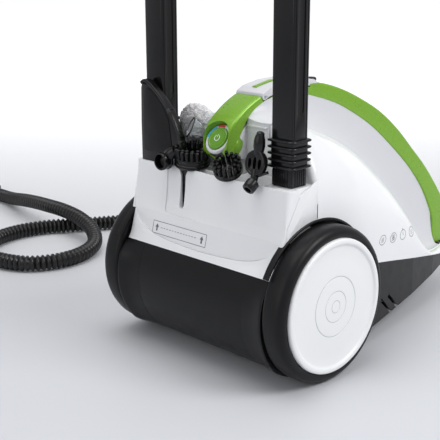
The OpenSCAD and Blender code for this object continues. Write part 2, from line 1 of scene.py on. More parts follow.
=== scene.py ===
"""Canister steam cleaner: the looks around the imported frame. Shapes are drawn in millimetres
from the rear axle, X along it, -Y towards the nose, and moved into the shared frame by place()."""

import math

import bmesh
import bpy
import numpy as np
from mathutils import Matrix, Vector, noise as field


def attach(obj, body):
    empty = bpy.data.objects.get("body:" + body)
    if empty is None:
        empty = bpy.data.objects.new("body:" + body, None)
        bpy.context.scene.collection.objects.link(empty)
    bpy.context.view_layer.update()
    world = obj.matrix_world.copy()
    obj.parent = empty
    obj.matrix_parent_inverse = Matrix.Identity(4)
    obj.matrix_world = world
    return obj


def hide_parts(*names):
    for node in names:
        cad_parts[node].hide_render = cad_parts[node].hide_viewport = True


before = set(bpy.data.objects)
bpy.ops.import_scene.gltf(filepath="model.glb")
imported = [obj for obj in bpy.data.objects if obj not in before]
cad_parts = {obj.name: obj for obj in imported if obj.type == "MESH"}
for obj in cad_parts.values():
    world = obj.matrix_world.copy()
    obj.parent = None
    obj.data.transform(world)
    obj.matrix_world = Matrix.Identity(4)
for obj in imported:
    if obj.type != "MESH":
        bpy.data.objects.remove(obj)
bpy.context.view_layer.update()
AXLE_Y = 170.0
AXLE_Z = 100.0
HUB = (0, 0, AXLE_Z)
X_AXIS = (1, 0, 0)
Y_AXIS = (0, 1, 0)
Z_AXIS = (0, 0, 1)
SIDES = (("left", 1), ("right", -1))


def place(point):
    x, y, z = point
    return Vector((x / 1000, (y + AXLE_Y) / 1000, z / 1000))


def linked(name, data):
    thing = bpy.data.objects.new(name, data)
    bpy.context.scene.collection.objects.link(thing)
    return thing


def aimed(eye, target):
    turn = (place(target) - place(eye)).to_track_quat("-Z", "Y").to_matrix().to_4x4()
    return Matrix.Translation(place(eye)) @ turn


# --- Camera ---
CAMERA_EYE = (-860.6, 881.1, 520.7)
CAMERA_TARGET = (33.79, 0, 170.67)
ROLL = math.radians(-0.13)
lens = bpy.data.cameras.new("camera")
lens.lens = 79.1
lens.sensor_width = 36
lens.clip_end = 50
camera = linked("camera", lens)
camera.matrix_world = aimed(CAMERA_EYE, CAMERA_TARGET) @ Matrix.Rotation(ROLL, 4, "Z")
bpy.context.scene.camera = camera


# --- Materials ---
def shader(name):
    mat = bpy.data.materials.new(name)
    mat.use_nodes = True
    tree = mat.node_tree
    coords = tree.nodes.new("ShaderNodeTexCoord").outputs["Object"]
    return mat, tree, coords, tree.nodes["Principled BSDF"]


def put(node, values):
    for socket, value in values.items():
        node.inputs[socket].default_value = value


def wire(tree, node, sources):
    for socket, source in sources.items():
        tree.links.new(source, node.inputs[socket])


def texture(tree, coords, kind, values):
    tex = tree.nodes.new(kind)
    put(tex, values)
    wire(tree, tex, {"Vector": coords})
    return tex.outputs


def noise(tree, coords, scale, detail, rough=0.55):
    values = {"Scale": scale, "Detail": detail, "Roughness": rough}
    return texture(tree, coords, "ShaderNodeTexNoise", values)["Fac"]


def cells(tree, coords, scale):
    return texture(tree, coords, "ShaderNodeTexVoronoi", {"Scale": scale})


def spread(tree, source, low, high, start=0.3, end=0.7):
    ramp = tree.nodes.new("ShaderNodeMapRange")
    put(ramp, {"From Min": start, "From Max": end, "To Min": low, "To Max": high})
    wire(tree, ramp, {"Value": source})
    return ramp.outputs["Result"]


def tinted(tree, source, dark, light):
    mix = tree.nodes.new("ShaderNodeMix")
    mix.data_type = "RGBA"
    put(mix, {"A": (*dark, 1), "B": (*light, 1)})
    wire(tree, mix, {"Factor": source})
    return mix.outputs["Result"]


def mottled(tree, source, color, vary):
    dark = [c * (1 - vary) for c in color]
    light = [min(1, c * (1 + vary)) for c in color]
    return tinted(tree, source, dark, light)


def bumped(tree, height, strength, distance, bsdf):
    bump = tree.nodes.new("ShaderNodeBump")
    put(bump, {"Strength": strength, "Distance": distance})
    wire(tree, bump, {"Height": height})
    wire(tree, bsdf, {"Normal": bump.outputs["Normal"]})


def plastic(name, color, rough, grain=2200.0, bump=0.06, vary=0.04, coat=0.0, depth=0.0001,
            metallic=0.0, specular=0.5):
    """Moulded plastic: a faint tone change over the part, uneven gloss and a fine grain."""
    mat, tree, coords, bsdf = shader(name)
    smear = noise(tree, coords, 55.0, 4.0)
    wire(tree, bsdf, {
        "Base Color": mottled(tree, noise(tree, coords, 9.0, 2.0), color, vary),
        "Roughness": spread(tree, smear, rough * 0.86, rough * 1.14)})
    bumped(tree, noise(tree, coords, grain, 2.0), bump, depth, bsdf)
    put(bsdf, {"Coat Weight": coat, "Coat Roughness": 0.12, "Metallic": metallic,
               "Specular IOR Level": specular})
    return mat


def flecked(name, color, rough, fleck):
    """Painted plastic with a fine metallic fleck."""
    mat, tree, coords, bsdf = shader(name)
    grains = tree.nodes.new("ShaderNodeSeparateColor")
    wire(tree, grains, {"Color": cells(tree, coords, 1500)["Color"]})
    broad = noise(tree, coords, 40.0, 3.0)
    wire(tree, bsdf, {
        "Base Color": mottled(tree, grains.outputs["Red"], color, fleck),
        "Roughness": spread(tree, broad, rough * 0.88, rough * 1.12)})
    bumped(tree, grains.outputs["Green"], 0.05, 0.0001, bsdf)
    put(bsdf, {"Metallic": 0.25, "Coat Weight": 0.25, "Coat Roughness": 0.2})
    return mat


def clear_plastic(name, color, rough):
    mat, tree, coords, bsdf = shader(name)
    smear = noise(tree, coords, 70.0, 3.0)
    wire(tree, bsdf, {
        "Base Color": tinted(tree, smear, [c * 0.95 for c in color], color),
        "Roughness": spread(tree, smear, rough * 0.6, rough * 1.6)})
    bumped(tree, smear, 0.05, 0.0003, bsdf)
    put(bsdf, {"Transmission Weight": 0.9, "IOR": 1.49})
    return mat


def terry(name, color):
    """Looped cotton: loops as a fine cell pattern over a soft, wrinkled ground."""
    mat, tree, coords, bsdf = shader(name)
    folds = noise(tree, coords, 130.0, 4.0, 0.6)
    height = tree.nodes.new("ShaderNodeMath")
    height.operation = "SUBTRACT"
    wire(tree, height, {0: folds, 1: cells(tree, coords, 520)["Distance"]})
    # The colour darkens where the fold noise sinks the bump: painted shade in the fold valleys.
    wire(tree, bsdf, {
        "Base Color": tinted(tree, folds, [c * 0.72 for c in color], color),
        "Roughness": spread(tree, folds, 0.85, 0.98)})
    bumped(tree, height.outputs["Value"], 0.7, 0.0012, bsdf)
    put(bsdf, {"Sheen Weight": 0.35, "Subsurface Weight": 0.08, "Subsurface Scale": 0.01})
    return mat


WHITE = plastic("white_gloss", (0.83, 0.835, 0.85), 0.2, 700.0, 0.03, 0.012, 0.25, 0.00012)
WHITE_SATIN = plastic("white_satin", (0.84, 0.845, 0.85), 0.34, 1300.0, 0.05, 0.012)
BLACK = plastic("black_satin", (0.0065, 0.0064, 0.0074), 0.34, 1500.0, 0.07, 0.12, specular=0.22)
BLACK_GLOSS = plastic("black_gloss", (0.005, 0.0049, 0.0056), 0.2, 1100.0, 0.04, 0.1, 0.1, specular=0.34)
BLACK_MATT = plastic("black_matt", (0.0075, 0.0074, 0.0084), 0.42, 1900.0, 0.12, 0.14, specular=0.22)
CHARCOAL = plastic("charcoal", (0.02, 0.02, 0.024), 0.42, 1700.0, 0.12, 0.08)
# Grey parts; the same grey is also the painted shade of the recess under the band.
GREY = plastic("grey_plastic_and_painted_recess_shade", (0.64, 0.645, 0.67), 0.36, 1500.0, 0.06, 0.02)
GREEN = flecked("green_band", (0.2, 0.42, 0.022), 0.3, 0.16)
GREEN_DEEP = plastic("green_cap", (0.115, 0.31, 0.01), 0.28, 1500.0, 0.05, 0.04, 0.15)
RUBBER = plastic("tyre_rubber", (0.006, 0.006, 0.0068), 0.4, 1300.0, 0.1, 0.14, specular=0.22)
HOSE = plastic("hose_black", (0.004, 0.004, 0.0045), 0.3, 1500.0, 0.03, 0.12, specular=0.45)
BRISTLE = plastic("bristle", (0.006, 0.006, 0.0066), 0.4, 3000.0, 0.15, 0.2, specular=0.34)
INK = plastic("print_grey", (0.12, 0.125, 0.14), 0.5, 2500.0, 0.05, 0.08)
# Grey painted shade for the engraved grooves on the wheel discs.
GROOVE_SHADE = plastic("groove_painted_shade", (0.46, 0.47, 0.49), 0.45, 2500.0, 0.05, 0.03)
INK_WHITE = plastic("print_white", (0.85, 0.86, 0.85), 0.5, 2500.0, 0.05, 0.03)
RED = plastic("print_red", (0.62, 0.02, 0.03), 0.42, 2500.0, 0.05, 0.05)
BLUE = plastic("print_blue", (0.08, 0.42, 0.72), 0.42, 2500.0, 0.05, 0.05)
STEEL = plastic("brushed_steel", (0.55, 0.56, 0.58), 0.3, 900.0, 0.12, 0.05, 0.0, 0.0001, 1.0)
ALLOY = plastic("cast_alloy", (0.6, 0.6, 0.62), 0.45, 500.0, 0.3, 0.06, 0.0, 0.0002, 1.0)
BOARD = plastic("board_green", (0.02, 0.12, 0.04), 0.4, 1200.0, 0.2, 0.15)
SILICONE = plastic("silicone", (0.45, 0.16, 0.1), 0.5, 1200.0, 0.1, 0.08)
CLEAR = clear_plastic("clear_cup", (0.93, 0.95, 0.97), 0.08)
TANK = clear_plastic("tank_plastic", (0.75, 0.82, 0.88), 0.3)
COTTON = terry("cotton_terry", (0.8, 0.8, 0.81))

for names, material in (
        ("lower_casing outlet_socket thermostat cord_gland", BLACK),
        ("wheel_arch_left wheel_arch_right caster_fork caster_wheel", BLACK_MATT),
        ("body_shell_left body_shell_right rear_panel accessory_bucket", WHITE),
        ("disc_left disc_right", WHITE_SATIN),
        ("recess_cover dial_ring filler_lid gun_lock", GREY),
        ("handle_band lid_trim gun_trigger", GREEN),
        ("power_button", GREEN_DEEP),
        ("regulator_knob", CHARCOAL),
        ("release_button tube_left tube_right tube_collar_left tube_collar_right", BLACK_GLOSS),
        ("tube_latch_left tube_latch_right squeegee_head elbow_nozzle round_brush", BLACK_GLOSS),
        ("small_brush detail_nozzle hose_plug gun_shell_left gun_shell_right", BLACK_GLOSS),
        ("gun_outlet", BLACK_GLOSS),
        ("round_brush_tufts small_brush_tufts", BRISTLE),
        ("tyre_left tyre_right", RUBBER),
        ("rear_axle axle_clips caster_pin lid_pin gun_pin heating_element solenoid_valve", STEEL),
        ("pump", STEEL),
        ("boiler_lower boiler_upper", ALLOY),
        ("circuit_board", BOARD),
        ("steam_pipe water_pipe", SILICONE),
        ("steam_hose", HOSE),
        ("filling_cup", CLEAR),
        ("water_tank", TANK),
        ("cotton_bonnet", COTTON)):
    for cad_name in names.split():
        for material_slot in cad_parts[cad_name].material_slots:
            material_slot.material = material


# --- Mesh tools ---
def shade(shape, angle):
    shape.data.shade_smooth()
    shape.data.set_sharp_from_angle(angle=math.radians(angle))
    return shape


def finished(name, work, material, angle=38):
    mesh = bpy.data.meshes.new(name)
    work.to_mesh(mesh)
    work.free()
    mesh.materials.append(material)
    return shade(linked(name, mesh), angle)


def make(name, verts, faces, material, angle=38):
    draft = bpy.data.meshes.new("draft")
    draft.from_pydata([place(v) for v in verts], [], faces)
    work = bmesh.new()
    work.from_mesh(draft)
    bpy.data.meshes.remove(draft)
    bmesh.ops.remove_doubles(work, verts=work.verts, dist=1e-6)
    bmesh.ops.recalc_face_normals(work, faces=work.faces)
    return finished(name, work, material, angle)


def baked(shape, angle=38):
    """Puts what the modifiers do into the mesh itself."""
    bpy.context.view_layer.update()
    graph = bpy.context.evaluated_depsgraph_get()
    mesh = bpy.data.meshes.new_from_object(shape.evaluated_get(graph))
    shape.modifiers.clear()
    shape.data = mesh
    shade(shape, angle)
    return shape


def combine(shape, tool, operation="DIFFERENCE"):
    step = shape.modifiers.new("combine", "BOOLEAN")
    step.object = tool
    step.operation = operation
    step.solver = "EXACT"
    baked(shape)
    bpy.data.objects.remove(tool)
    return shape


def cut(shape, *tools):
    for tool in tools:
        combine(shape, tool)
    return shape


def soften(shape, width, segments=3, angle=28):
    step = shape.modifiers.new("edges", "BEVEL")
    step.width = width / 1000
    step.segments = segments
    step.limit_method = "ANGLE"
    step.angle_limit = math.radians(angle)
    step.miter_outer = "MITER_ARC"
    step.use_clamp_overlap = True
    return baked(shape, 40)


def thicken(shape, depth, offset=-1):
    step = shape.modifiers.new("wall", "SOLIDIFY")
    step.thickness = depth / 1000
    step.offset = offset
    return baked(shape)


def rounded(outline, radius, steps=5):
    """The outline with its corners rounded; radius is one number or one for each corner."""
    out = []
    count = len(outline)
    for i, here in enumerate(outline):
        r = radius[i] if isinstance(radius, (list, tuple)) else radius
        here = Vector(here)
        before = Vector(outline[i - 1]) - here
        after = Vector(outline[(i + 1) % count]) - here
        if r <= 0 or before.length < 1e-6 or after.length < 1e-6:
            out.append((here.x, here.y))
            continue
        half = before.angle(after) / 2
        reach = min(r / math.tan(half), 0.49 * before.length, 0.49 * after.length)
        start = here + before.normalized() * reach
        end = here + after.normalized() * reach
        for k in range(steps + 1):
            t = k / steps
            p = start * (1 - t) ** 2 + here * 2 * t * (1 - t) + end * t * t
            out.append((p.x, p.y))
    return out


def prism(name, axis, outline, low, high, material=WHITE):
    """The outline pushed along axis: x takes (y, z) points, y takes (x, z), z takes (x, y)."""
    order = {"x": lambda a, b, d: (d, a, b), "y": lambda a, b, d: (a, d, b),
             "z": lambda a, b, d: (a, b, d)}[axis]
    count = len(outline)
    verts = [order(a, b, d) for d in (low, high) for a, b in outline]
    faces = [tuple(range(count)), tuple(range(2 * count - 1, count - 1, -1))]
    faces += [(i, (i + 1) % count, count + (i + 1) % count, count + i) for i in range(count)]
    return make(name, verts, faces, material)


def box(x0, x1, y0, y1, z0, z1):
    return prism("box", "z", [(x0, y0), (x1, y0), (x1, y1), (x0, y1)], z0, z1)


def loft(name, rings, material, loop=False, angle=38):
    """Closed rings of equal count, skinned in order, and capped unless they make a loop."""
    count = len(rings[0])
    verts = [p for ring in rings for p in ring]
    faces = []
    for i in range(len(rings) - (0 if loop else 1)):
        a = i * count
        b = (i + 1) % len(rings) * count
        faces += [(a + k, a + (k + 1) % count, b + (k + 1) % count, b + k) for k in range(count)]
    if not loop:
        last = len(verts) - count
        faces += [tuple(range(count - 1, -1, -1)), tuple(range(last, last + count))]
    return make(name, verts, faces, material, angle)


def sheet(name, rows, material, extra_faces=(), extra_verts=()):
    """An open skin over rows of equal count."""
    count = len(rows[0])
    verts = [p for row in rows for p in row] + list(extra_verts)
    faces = [(i * count + k, i * count + k + 1, (i + 1) * count + k + 1, (i + 1) * count + k)
             for i in range(len(rows) - 1) for k in range(count - 1)]
    return make(name, verts, faces + list(extra_faces), material)


def frame_of(direction):
    d = Vector(direction).normalized()
    side = d.cross(Vector(Z_AXIS))
    if side.length < 1e-3:
        side = Vector(X_AXIS)
    side.normalize()
    return d, side, side.cross(d)


def lathe(name, profile, centre, axis, material, steps=64, closed=False, squash=None):
    """The (radius, height) profile turned about axis through centre."""
    d, side, up = frame_of(axis)
    centre = Vector(centre)
    rings = []
    for r, h in profile:
        ring = []
        for k in range(steps):
            turn = 2 * math.pi * k / steps
            bulge = squash(turn, r, h) if squash else 1.0
            rr = max(r, 0.001) * bulge
            ring.append(centre + d * h + side * rr * math.cos(turn) + up * rr * math.sin(turn))
        rings.append(ring)
    return loft(name, rings, material, closed)


def drill(radius, low, high, centre, axis, steps):
    """A cylinder to cut with."""
    profile = [(0, low), (radius, low), (radius, high), (0, high)]
    return lathe("drill", profile, centre, axis, WHITE, steps)


def rect_ring(half_a, half_b, radius, steps=3):
    corners = [(half_a, half_b), (-half_a, half_b), (-half_a, -half_b), (half_a, -half_b)]
    return rounded(corners, radius, steps)


def heading(points, i):
    return (points[min(i + 1, len(points) - 1)] - points[max(i - 1, 0)]).normalized()


def tube_along(name, points, radius, material, sides=12):
    """A round tube: radius is one number or one for each point."""
    points = [Vector(p) for p in points]
    rings = []
    up = frame_of(heading(points, 0))[2]
    for i, p in enumerate(points):
        d = heading(points, i)
        up = (up - d * up.dot(d)).normalized()
        side = d.cross(up)
        r = radius[i] if isinstance(radius, list) else radius
        rings.append([p + side * r * math.cos(2 * math.pi * k / sides)
                      + up * r * math.sin(2 * math.pi * k / sides) for k in range(sides)])
    return loft(name, rings, material)


def sweep(first, last, count):
    """Even steps from one angle to the other, given in degrees."""
    return [math.radians(first + (last - first) * k / count) for k in range(count + 1)]


def bezier(a, b, c, d, count=15):
    points = []
    for k in range(count):
        t = k / (count - 1)
        u = 1 - t
        points.append(tuple(u ** 3 * p + 3 * u * u * t * q + 3 * u * t * t * r + t ** 3 * s
                            for p, q, r, s in zip(a, b, c, d)))
    return points


def along(xs, ys, x):
    """A smooth curve through the points that never overshoots them."""
    order = np.argsort(xs)
    xs = np.asarray(xs, float)[order]
    ys = np.asarray(ys, float)[order]
    if x <= xs[0]:
        return float(ys[0])
    if x >= xs[-1]:
        return float(ys[-1])
    slope = np.diff(ys) / np.diff(xs)
    tangent = np.zeros(len(xs))
    tangent[0], tangent[-1] = slope[0], slope[-1]
    for i in range(1, len(xs) - 1):
        if slope[i - 1] * slope[i] > 0:
            tangent[i] = 2 * slope[i - 1] * slope[i] / (slope[i - 1] + slope[i])
    i = int(np.searchsorted(xs, x)) - 1
    h = xs[i + 1] - xs[i]
    t = (x - xs[i]) / h
    return float(ys[i] * (1 + 2 * t) * (1 - t) ** 2 + tangent[i] * h * t * (1 - t) ** 2
                 + ys[i + 1] * t * t * (3 - 2 * t) + tangent[i + 1] * h * t * t * (t - 1))


def through(points, per_span):
    """A smooth curve through the points, the same as the CAD's hose takes."""
    points = [Vector(p) for p in points]
    out = []
    for i in range(len(points) - 1):
        a = points[max(i - 1, 0)]
        b = points[i]
        c = points[i + 1]
        d = points[min(i + 2, len(points) - 1)]
        for k in range(per_span):
            t = k / per_span
            out.append(0.5 * (2 * b + (c - a) * t + (2 * a - 5 * b + 4 * c - d) * t * t
                              + (3 * b - a - 3 * c + d) * t ** 3))
    out.append(points[-1])
    return out


def joined(name, shapes):
    """One object from several."""
    work = bmesh.new()
    for shape in shapes:
        work.from_mesh(shape.data)
    material = shapes[0].data.materials[0]
    for shape in shapes:
        bpy.data.objects.remove(shape)
    return finished(name, work, material)


def mirrored(shape, name):
    work = bmesh.new()
    work.from_mesh(shape.data)
    for vert in work.verts:
        vert.co.x = -vert.co.x
    bmesh.ops.reverse_faces(work, faces=work.faces)
    return finished(name, work, shape.data.materials[0])


def settle(piece, body, slot, *nodes):
    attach(piece, body)
    if nodes:
        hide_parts(*nodes)
    return piece


def settle_pair(piece, name, slot, left_nodes=(), right_nodes=()):
    """The left piece and its mirror image, both on the machine."""
    twin = mirrored(piece, name)
    settle(piece, "machine", slot, *left_nodes)
    settle(twin, "machine", slot, *right_nodes)


# --- Steam hose ---
OUTLET_Z = 52.5
HOSE_ROUTE = [
    (0, -497, OUTLET_Z), (0, -505, OUTLET_Z), (0, -513, OUTLET_Z), (0, -532, 45),
    (0, -562, 27), (22, -604, 14), (78, -636, 14), (157, -638, 14), (241, -610, 14),
    (325, -552, 14), (405, -478, 14), (475, -395, 14), (530, -310, 14), (569, -239, 14),
    (603, -178, 14), (632, -130, 14), (644, -75, 14), (634, -20, 14), (603, 25, 14),
    (560, 48, 14), (512, 46, 14), (468, 24, 14), (445, -22, 14), (450, -75, 14),
    (478, -122, 17), (522, -150, 27), (572, -160, 37), (624, -161, 42), (678, -163, 41),
    (732, -169, 37), (785, -178, 30), (835, -190, 21), (872, -198, 16), (900, -200, 15),
    (915, -200, 15), (930, -200, 15)]


def even_steps(points, step):
    lengths = [0.0]
    for a, b in zip(points, points[1:]):
        lengths.append(lengths[-1] + (b - a).length)
    total = lengths[-1]
    count = int(round(total / step))
    out = []
    j = 0
    for i in range(count + 1):
        want = total * i / count
        while j < len(points) - 2 and lengths[j + 1] < want:
            j += 1
        t = (want - lengths[j]) / max(lengths[j + 1] - lengths[j], 1e-9)
        out.append(points[j].lerp(points[j + 1], min(max(t, 0), 1)))
    return out, total


HOSE_STEP = 1.75
RIDGE = (13.5, 13.5, 11.9, 9.9, 11.4)
END_R = [12.4] * 3
hose_line, hose_length = even_steps(through(HOSE_ROUTE, 24), HOSE_STEP)
hose_radii = [RIDGE[i % len(RIDGE)] for i in range(len(hose_line))]
hose_radii[:3] = END_R
hose_radii[-3:] = END_R
hose = shade(tube_along("hose_skin", hose_line, hose_radii, HOSE, 20), 80)
settle(hose, "machine", "hose_rubber", "steam_hose")

# --- Light, floor and backdrop ---
scene = bpy.context.scene
scene.view_settings.view_transform = "Standard"
world = bpy.data.worlds.new("studio")
world.use_nodes = True
put(world.node_tree.nodes["Background"], {"Color": (0.93, 0.94, 0.97, 1), "Strength": 0.53})
scene.world = world

for lamp_name, eye, target, size, power in (
        ("key", (-1900, -700, 2000), (0, -100, 150), 1.3, 40),
        ("top", (300, 300, 2600), (0, -50, 100), 2.2, 27),
        ("rear_fill", (400, 2400, 1100), (0, 0, 180), 1.8, 9)):
    lamp = bpy.data.lights.new(lamp_name, "AREA")
    lamp.shape = "DISK"
    lamp.size = size
    lamp.energy = power
    linked(lamp_name, lamp).matrix_world = aimed(eye, target)

AWAY = Vector((0.712, -0.702, 0))
SIDEWAYS = Vector((0.702, 0.712, 0))


def glowing_backdrop_paper():
    """Pale paper with painted light: darker at the front, lighter towards the back, where it also glows
    by its own emission.
    """
    mat, tree, coords, bsdf = shader("floor_paper_painted_glow")
    split = tree.nodes.new("ShaderNodeVectorMath")
    split.operation = "DOT_PRODUCT"
    split.inputs[1].default_value = AWAY
    wire(tree, split, {0: coords})
    # Painted light: tone and emission both rise towards the back, so the floor glows brighter there as if
    # lit.
    far = spread(tree, split.outputs["Value"], 0, 1, -0.1, 2.3)
    tone = tinted(tree, far, (0.6, 0.61, 0.64), (0.9, 0.9, 0.905))
    wire(tree, bsdf, {
        "Base Color": tone, "Emission Color": tone, "Emission Strength": spread(tree, far,
        0.0, 0.42)})
    put(bsdf, {"Roughness": 0.55})
    return mat


def studio_floor():
    """A flat floor that curves up into a wall."""
    flat = 0.6
    bend = 1.8
    verts = []
    for i in range(25):
        t = i / 24
        if t < flat:
            d, z = -3.5 + t / flat * 6.3, 0.0
        else:
            turn = (t - flat) / 0.4 * math.pi / 2
            d, z = 2.8 + bend * math.sin(turn), bend * (1 - math.cos(turn))
        for s in (-5.0, 5.0):
            p = AWAY * d + SIDEWAYS * s
            verts.append((p.x, p.y + 0.17, z))
    faces = [(2 * i, 2 * i + 1, 2 * i + 3, 2 * i + 2) for i in range(24)]
    mesh = bpy.data.meshes.new("floor")
    mesh.from_pydata(verts, [], faces)
    mesh.materials.append(glowing_backdrop_paper())
    mesh.shade_smooth()
    linked("floor", mesh)


studio_floor()

# --- Body shells and the hollow between them ---
STATIONS = (-434, -400, -336, -302, -259, -192, -117, -65, -19, 4)
LIP_Z = (68.5, 70, 78, 106, 157, 219, 273, 296, 311, 314)
LIP_X = (45, 58, 76, 78, 79, 80, 80, 80, 77, 62)
SIDE_X = (50, 68, 88, 95, 104, 116, 130, 136, 138, 138)
SIDE_Z = (64, 64, 74, 86, 100, 130, 165, 205, 222, 225)
ARCH_R = 105.8
SPLIT_Y = (-470, -395, -120, -60, 45)
SPLIT_Z = (60, 61, 119, 147, 147)


def shell_section(y, sink=0.0):
    """Half a section of the white body at y, from the casing up to the lip."""
    lip_x, lip_z = along(STATIONS, LIP_X, y), along(STATIONS, LIP_Z, y)
    side_x, side_z = along(STATIONS, SIDE_X, y), along(STATIONS, SIDE_Z, y)
    base = float(np.interp(y, SPLIT_Y, SPLIT_Z))
    if abs(y) < ARCH_R:
        base = max(base, AXLE_Z + math.sqrt(ARCH_R ** 2 - y ** 2))
    side_z = max(side_z, base + 1)
    points = [(side_x, base + (side_z - base) * k / 5) for k in range(5)]
    rise = lip_z - side_z
    b = (side_x, side_z + 0.5 * rise)
    c = (lip_x + 0.52 * (side_x - lip_x), side_z + 0.93 * rise)
    points += bezier((side_x, side_z), b, c, (lip_x, lip_z - 0.8))
    points += [(lip_x - 1.0, lip_z), (lip_x - 2.2, lip_z - 0.4), (lip_x - 2.8, lip_z - 2.2)]
    out = []
    for x, z in points:
        fade = min(max((z - 238) / 22, 0), 1)
        out.append((x - sink * fade, y, z - 0.8 * sink * fade))
    return out


def body_shell():
    steps = list(np.linspace(-434, -112, 44)) + list(np.linspace(-107, -90, 12))
    steps += list(np.linspace(-87, -2, 26))
    rows = [shell_section(y) for y in steps]
    for y, sink in ((0.5, 0.8), (2.4, 2.2), (3.6, 4.2), (4.0, 6.5)):
        rows.append(shell_section(y, sink))
    count = len(rows[0])
    start = len(rows) * count
    edge = start - count
    inner = [(x * 0.04, y, z) for x, y, z in rows[-1]]
    faces = [(edge + k, edge + k + 1, start + k + 1, start + k) for k in range(count - 1)]
    return thicken(sheet("body_shell_left_skin", rows, WHITE, faces, inner), 2.4)


left_shell = body_shell()
CHEEK = [(2.2, 148), (2.2, 254), (8, 252.5), (36, 240), (58, 203), (59.5, 189), (62, 176), (30, 176)]
cheek = prism("body_cheek_left", "x", rounded(CHEEK, [0, 1, 4, 3, 3, 1, 1, 0]), 135.2, 138)
combine(cheek, drill(ARCH_R, 130.4, 175, HUB, X_AXIS, 96))
settle_pair(soften(cheek, 0.7, 2), "body_cheek_right", "white_shell")
settle_pair(left_shell, "body_shell_right_skin", "white_shell", ["body_shell_left"],
            ["body_shell_right"])

BAND_PAIRS = (
    ((-401, 69), (-438, 69)), ((-398.8, 91), (-438.6, 91)), ((-396, 113), (-437.2, 113)),
    ((-382, 141), (-421, 143)), ((-364, 168), (-398, 172)), ((-343, 192), (-371, 202)),
    ((-320, 214), (-340, 231)), ((-284, 244), (-303, 265)), ((-246, 273), (-262, 295)),
    ((-208, 296), (-221, 317)), ((-170, 315), (-180, 335)), ((-133, 327.5), (-140, 347)),
    ((-96, 336), (-97, 353)), ((-60, 340), (-60, 351.5)), ((-31, 335), (-30, 345.5)),
    ((-10, 326.5), (-3, 335)), ((5, 314), (17, 323)), ((14, 301), (33, 309.5)),
    ((23, 286), (41, 295)), ((31, 271), (43, 281)), ((33, 266), (41.5, 271)))
BAND_W_Y = (-445, -330, -220, -110, -20, 60)
BAND_W = (44, 38, 32, 24.6, 23.2, 22)


def band_inner_z(y):
    inner = [pair[0] for pair in BAND_PAIRS[:18]]
    return along([p[0] for p in inner], [p[1] for p in inner], y)


def recess_section(y):
    lip_x, lip_z = along(STATIONS, LIP_X, y), along(STATIONS, LIP_Z, y)
    near = along(BAND_W_Y, BAND_W, y) - 2.2
    top = max(band_inner_z(y) + 1.2, lip_z + 1.5)
    b = (near + 2.5, lip_z + 0.35 * (top - lip_z))
    c = (near + 0.4 * (lip_x - near), lip_z - 3.2)
    return [(x, y, z) for x, z in bezier((near, top), b, c, (lip_x - 3, lip_z - 1.6))]


# The recess between the lip and the band is drawn grey as painted shade: the grey stands in for the shade
# in the hollow under the band.
def recess_half():
    ys = list(np.linspace(-400, -30, 56)) + list(np.linspace(-24, 3.4, 8))
    rows = [recess_section(y) for y in ys]
    rows.append([(x, 4.8, z - 16) for x, y, z in rows[-1]])
    return thicken(sheet("recess_left_painted_shade", rows, GREY), 1.6, 1)


settle_pair(recess_half(), "recess_right_painted_shade", "grey_plastic", ["recess_cover"])

# Wall behind the control panel, which closes the white body under the band
PANEL = [(-20, 262), (-20, 309), (2, 309), (12, 301), (19, 291), (24, 279), (14, 264)]
wall = prism("panel_wall", "x", rounded(PANEL, [0, 0, 3, 3, 3, 3, 2]), -20, 20)
settle(soften(wall, 1.5), "machine", "white_shell")


# --- Green band ---
def band():
    rings = []
    inner = through([(0, *a) for a, b in BAND_PAIRS], 4)
    outer = through([(0, *b) for a, b in BAND_PAIRS], 4)
    for p, q in zip(inner, outer):
        middle = (p + q) / 2
        up = (q - p)
        width = along(BAND_W_Y, BAND_W, q.y)
        thick = up.length / 2
        up.normalize()
        ring = []
        for x, h in rect_ring(width, thick, min(3.2, thick * 0.7), 4):
            crown = 0.9 * (1 - (x / width) ** 2) if h > 0 else 0
            at = middle + up * (h + crown)
            ring.append((x, at.y, at.z))
        rings.append(ring)
    return loft("handle_band_skin", rings, GREEN)


LID_SEAT = [(-22, 334.6), (-27, 334.4), (-36, 338.4), (-60, 344), (-95, 346), (-128.8, 343.9),
            (-128.8, 380), (-17.5, 380), (-17.5, 340)]
FILLER_NECK = [(-108.5, 240), (-39.5, 240), (-39.5, 380), (-108.5, 380)]
BUTTON_SEAT = [(0, 320), (6.2, 320), (6.2, 343.9), (8.7, 344.0), (8.7, 380), (0, 380)]
BUTTON = (0, -143, 0)
KNOB_BASE = Vector((0, 27, 285))
TILT = math.radians(35)
KNOB_AXIS = Vector((0, math.cos(TILT), math.sin(TILT)))
handle = cut(
    band(), prism("seat", "x", LID_SEAT, -24.7, 24.7), prism("neck", "x", FILLER_NECK, -15.5, 15.5),
    drill(6, -24.6, 24.6, (0, -25, 341), X_AXIS, 32), lathe("stem", BUTTON_SEAT, BUTTON, Z_AXIS, GREEN,
    40))
housing = lathe(
    "knob_housing", [(0, -14), (20.8, -14), (22.6, -12), (23.4, -0.5), (22.6, 1), (21.4, 1), (21.4, -8),
    (0, -8)], KNOB_BASE, KNOB_AXIS, GREEN, 72)
combine(handle, drill(21.4, -8.2, 60, KNOB_BASE, KNOB_AXIS, 72))
settle(handle, "machine", "green_plastic", "handle_band")
settle(soften(housing, 0.7, 2), "machine", "green_plastic")


# --- Regulator knob and power button ---
def knurl(turn, r, h):
    return 1.0 + (0.028 * math.cos(24 * turn) if r > 19.8 and -2.5 < h < 6.5 else 0.0)


def on_axis(name, profile, material, steps, closed=True, squash=None):
    return lathe(name, profile, KNOB_BASE, KNOB_AXIS, material, steps, closed, squash)


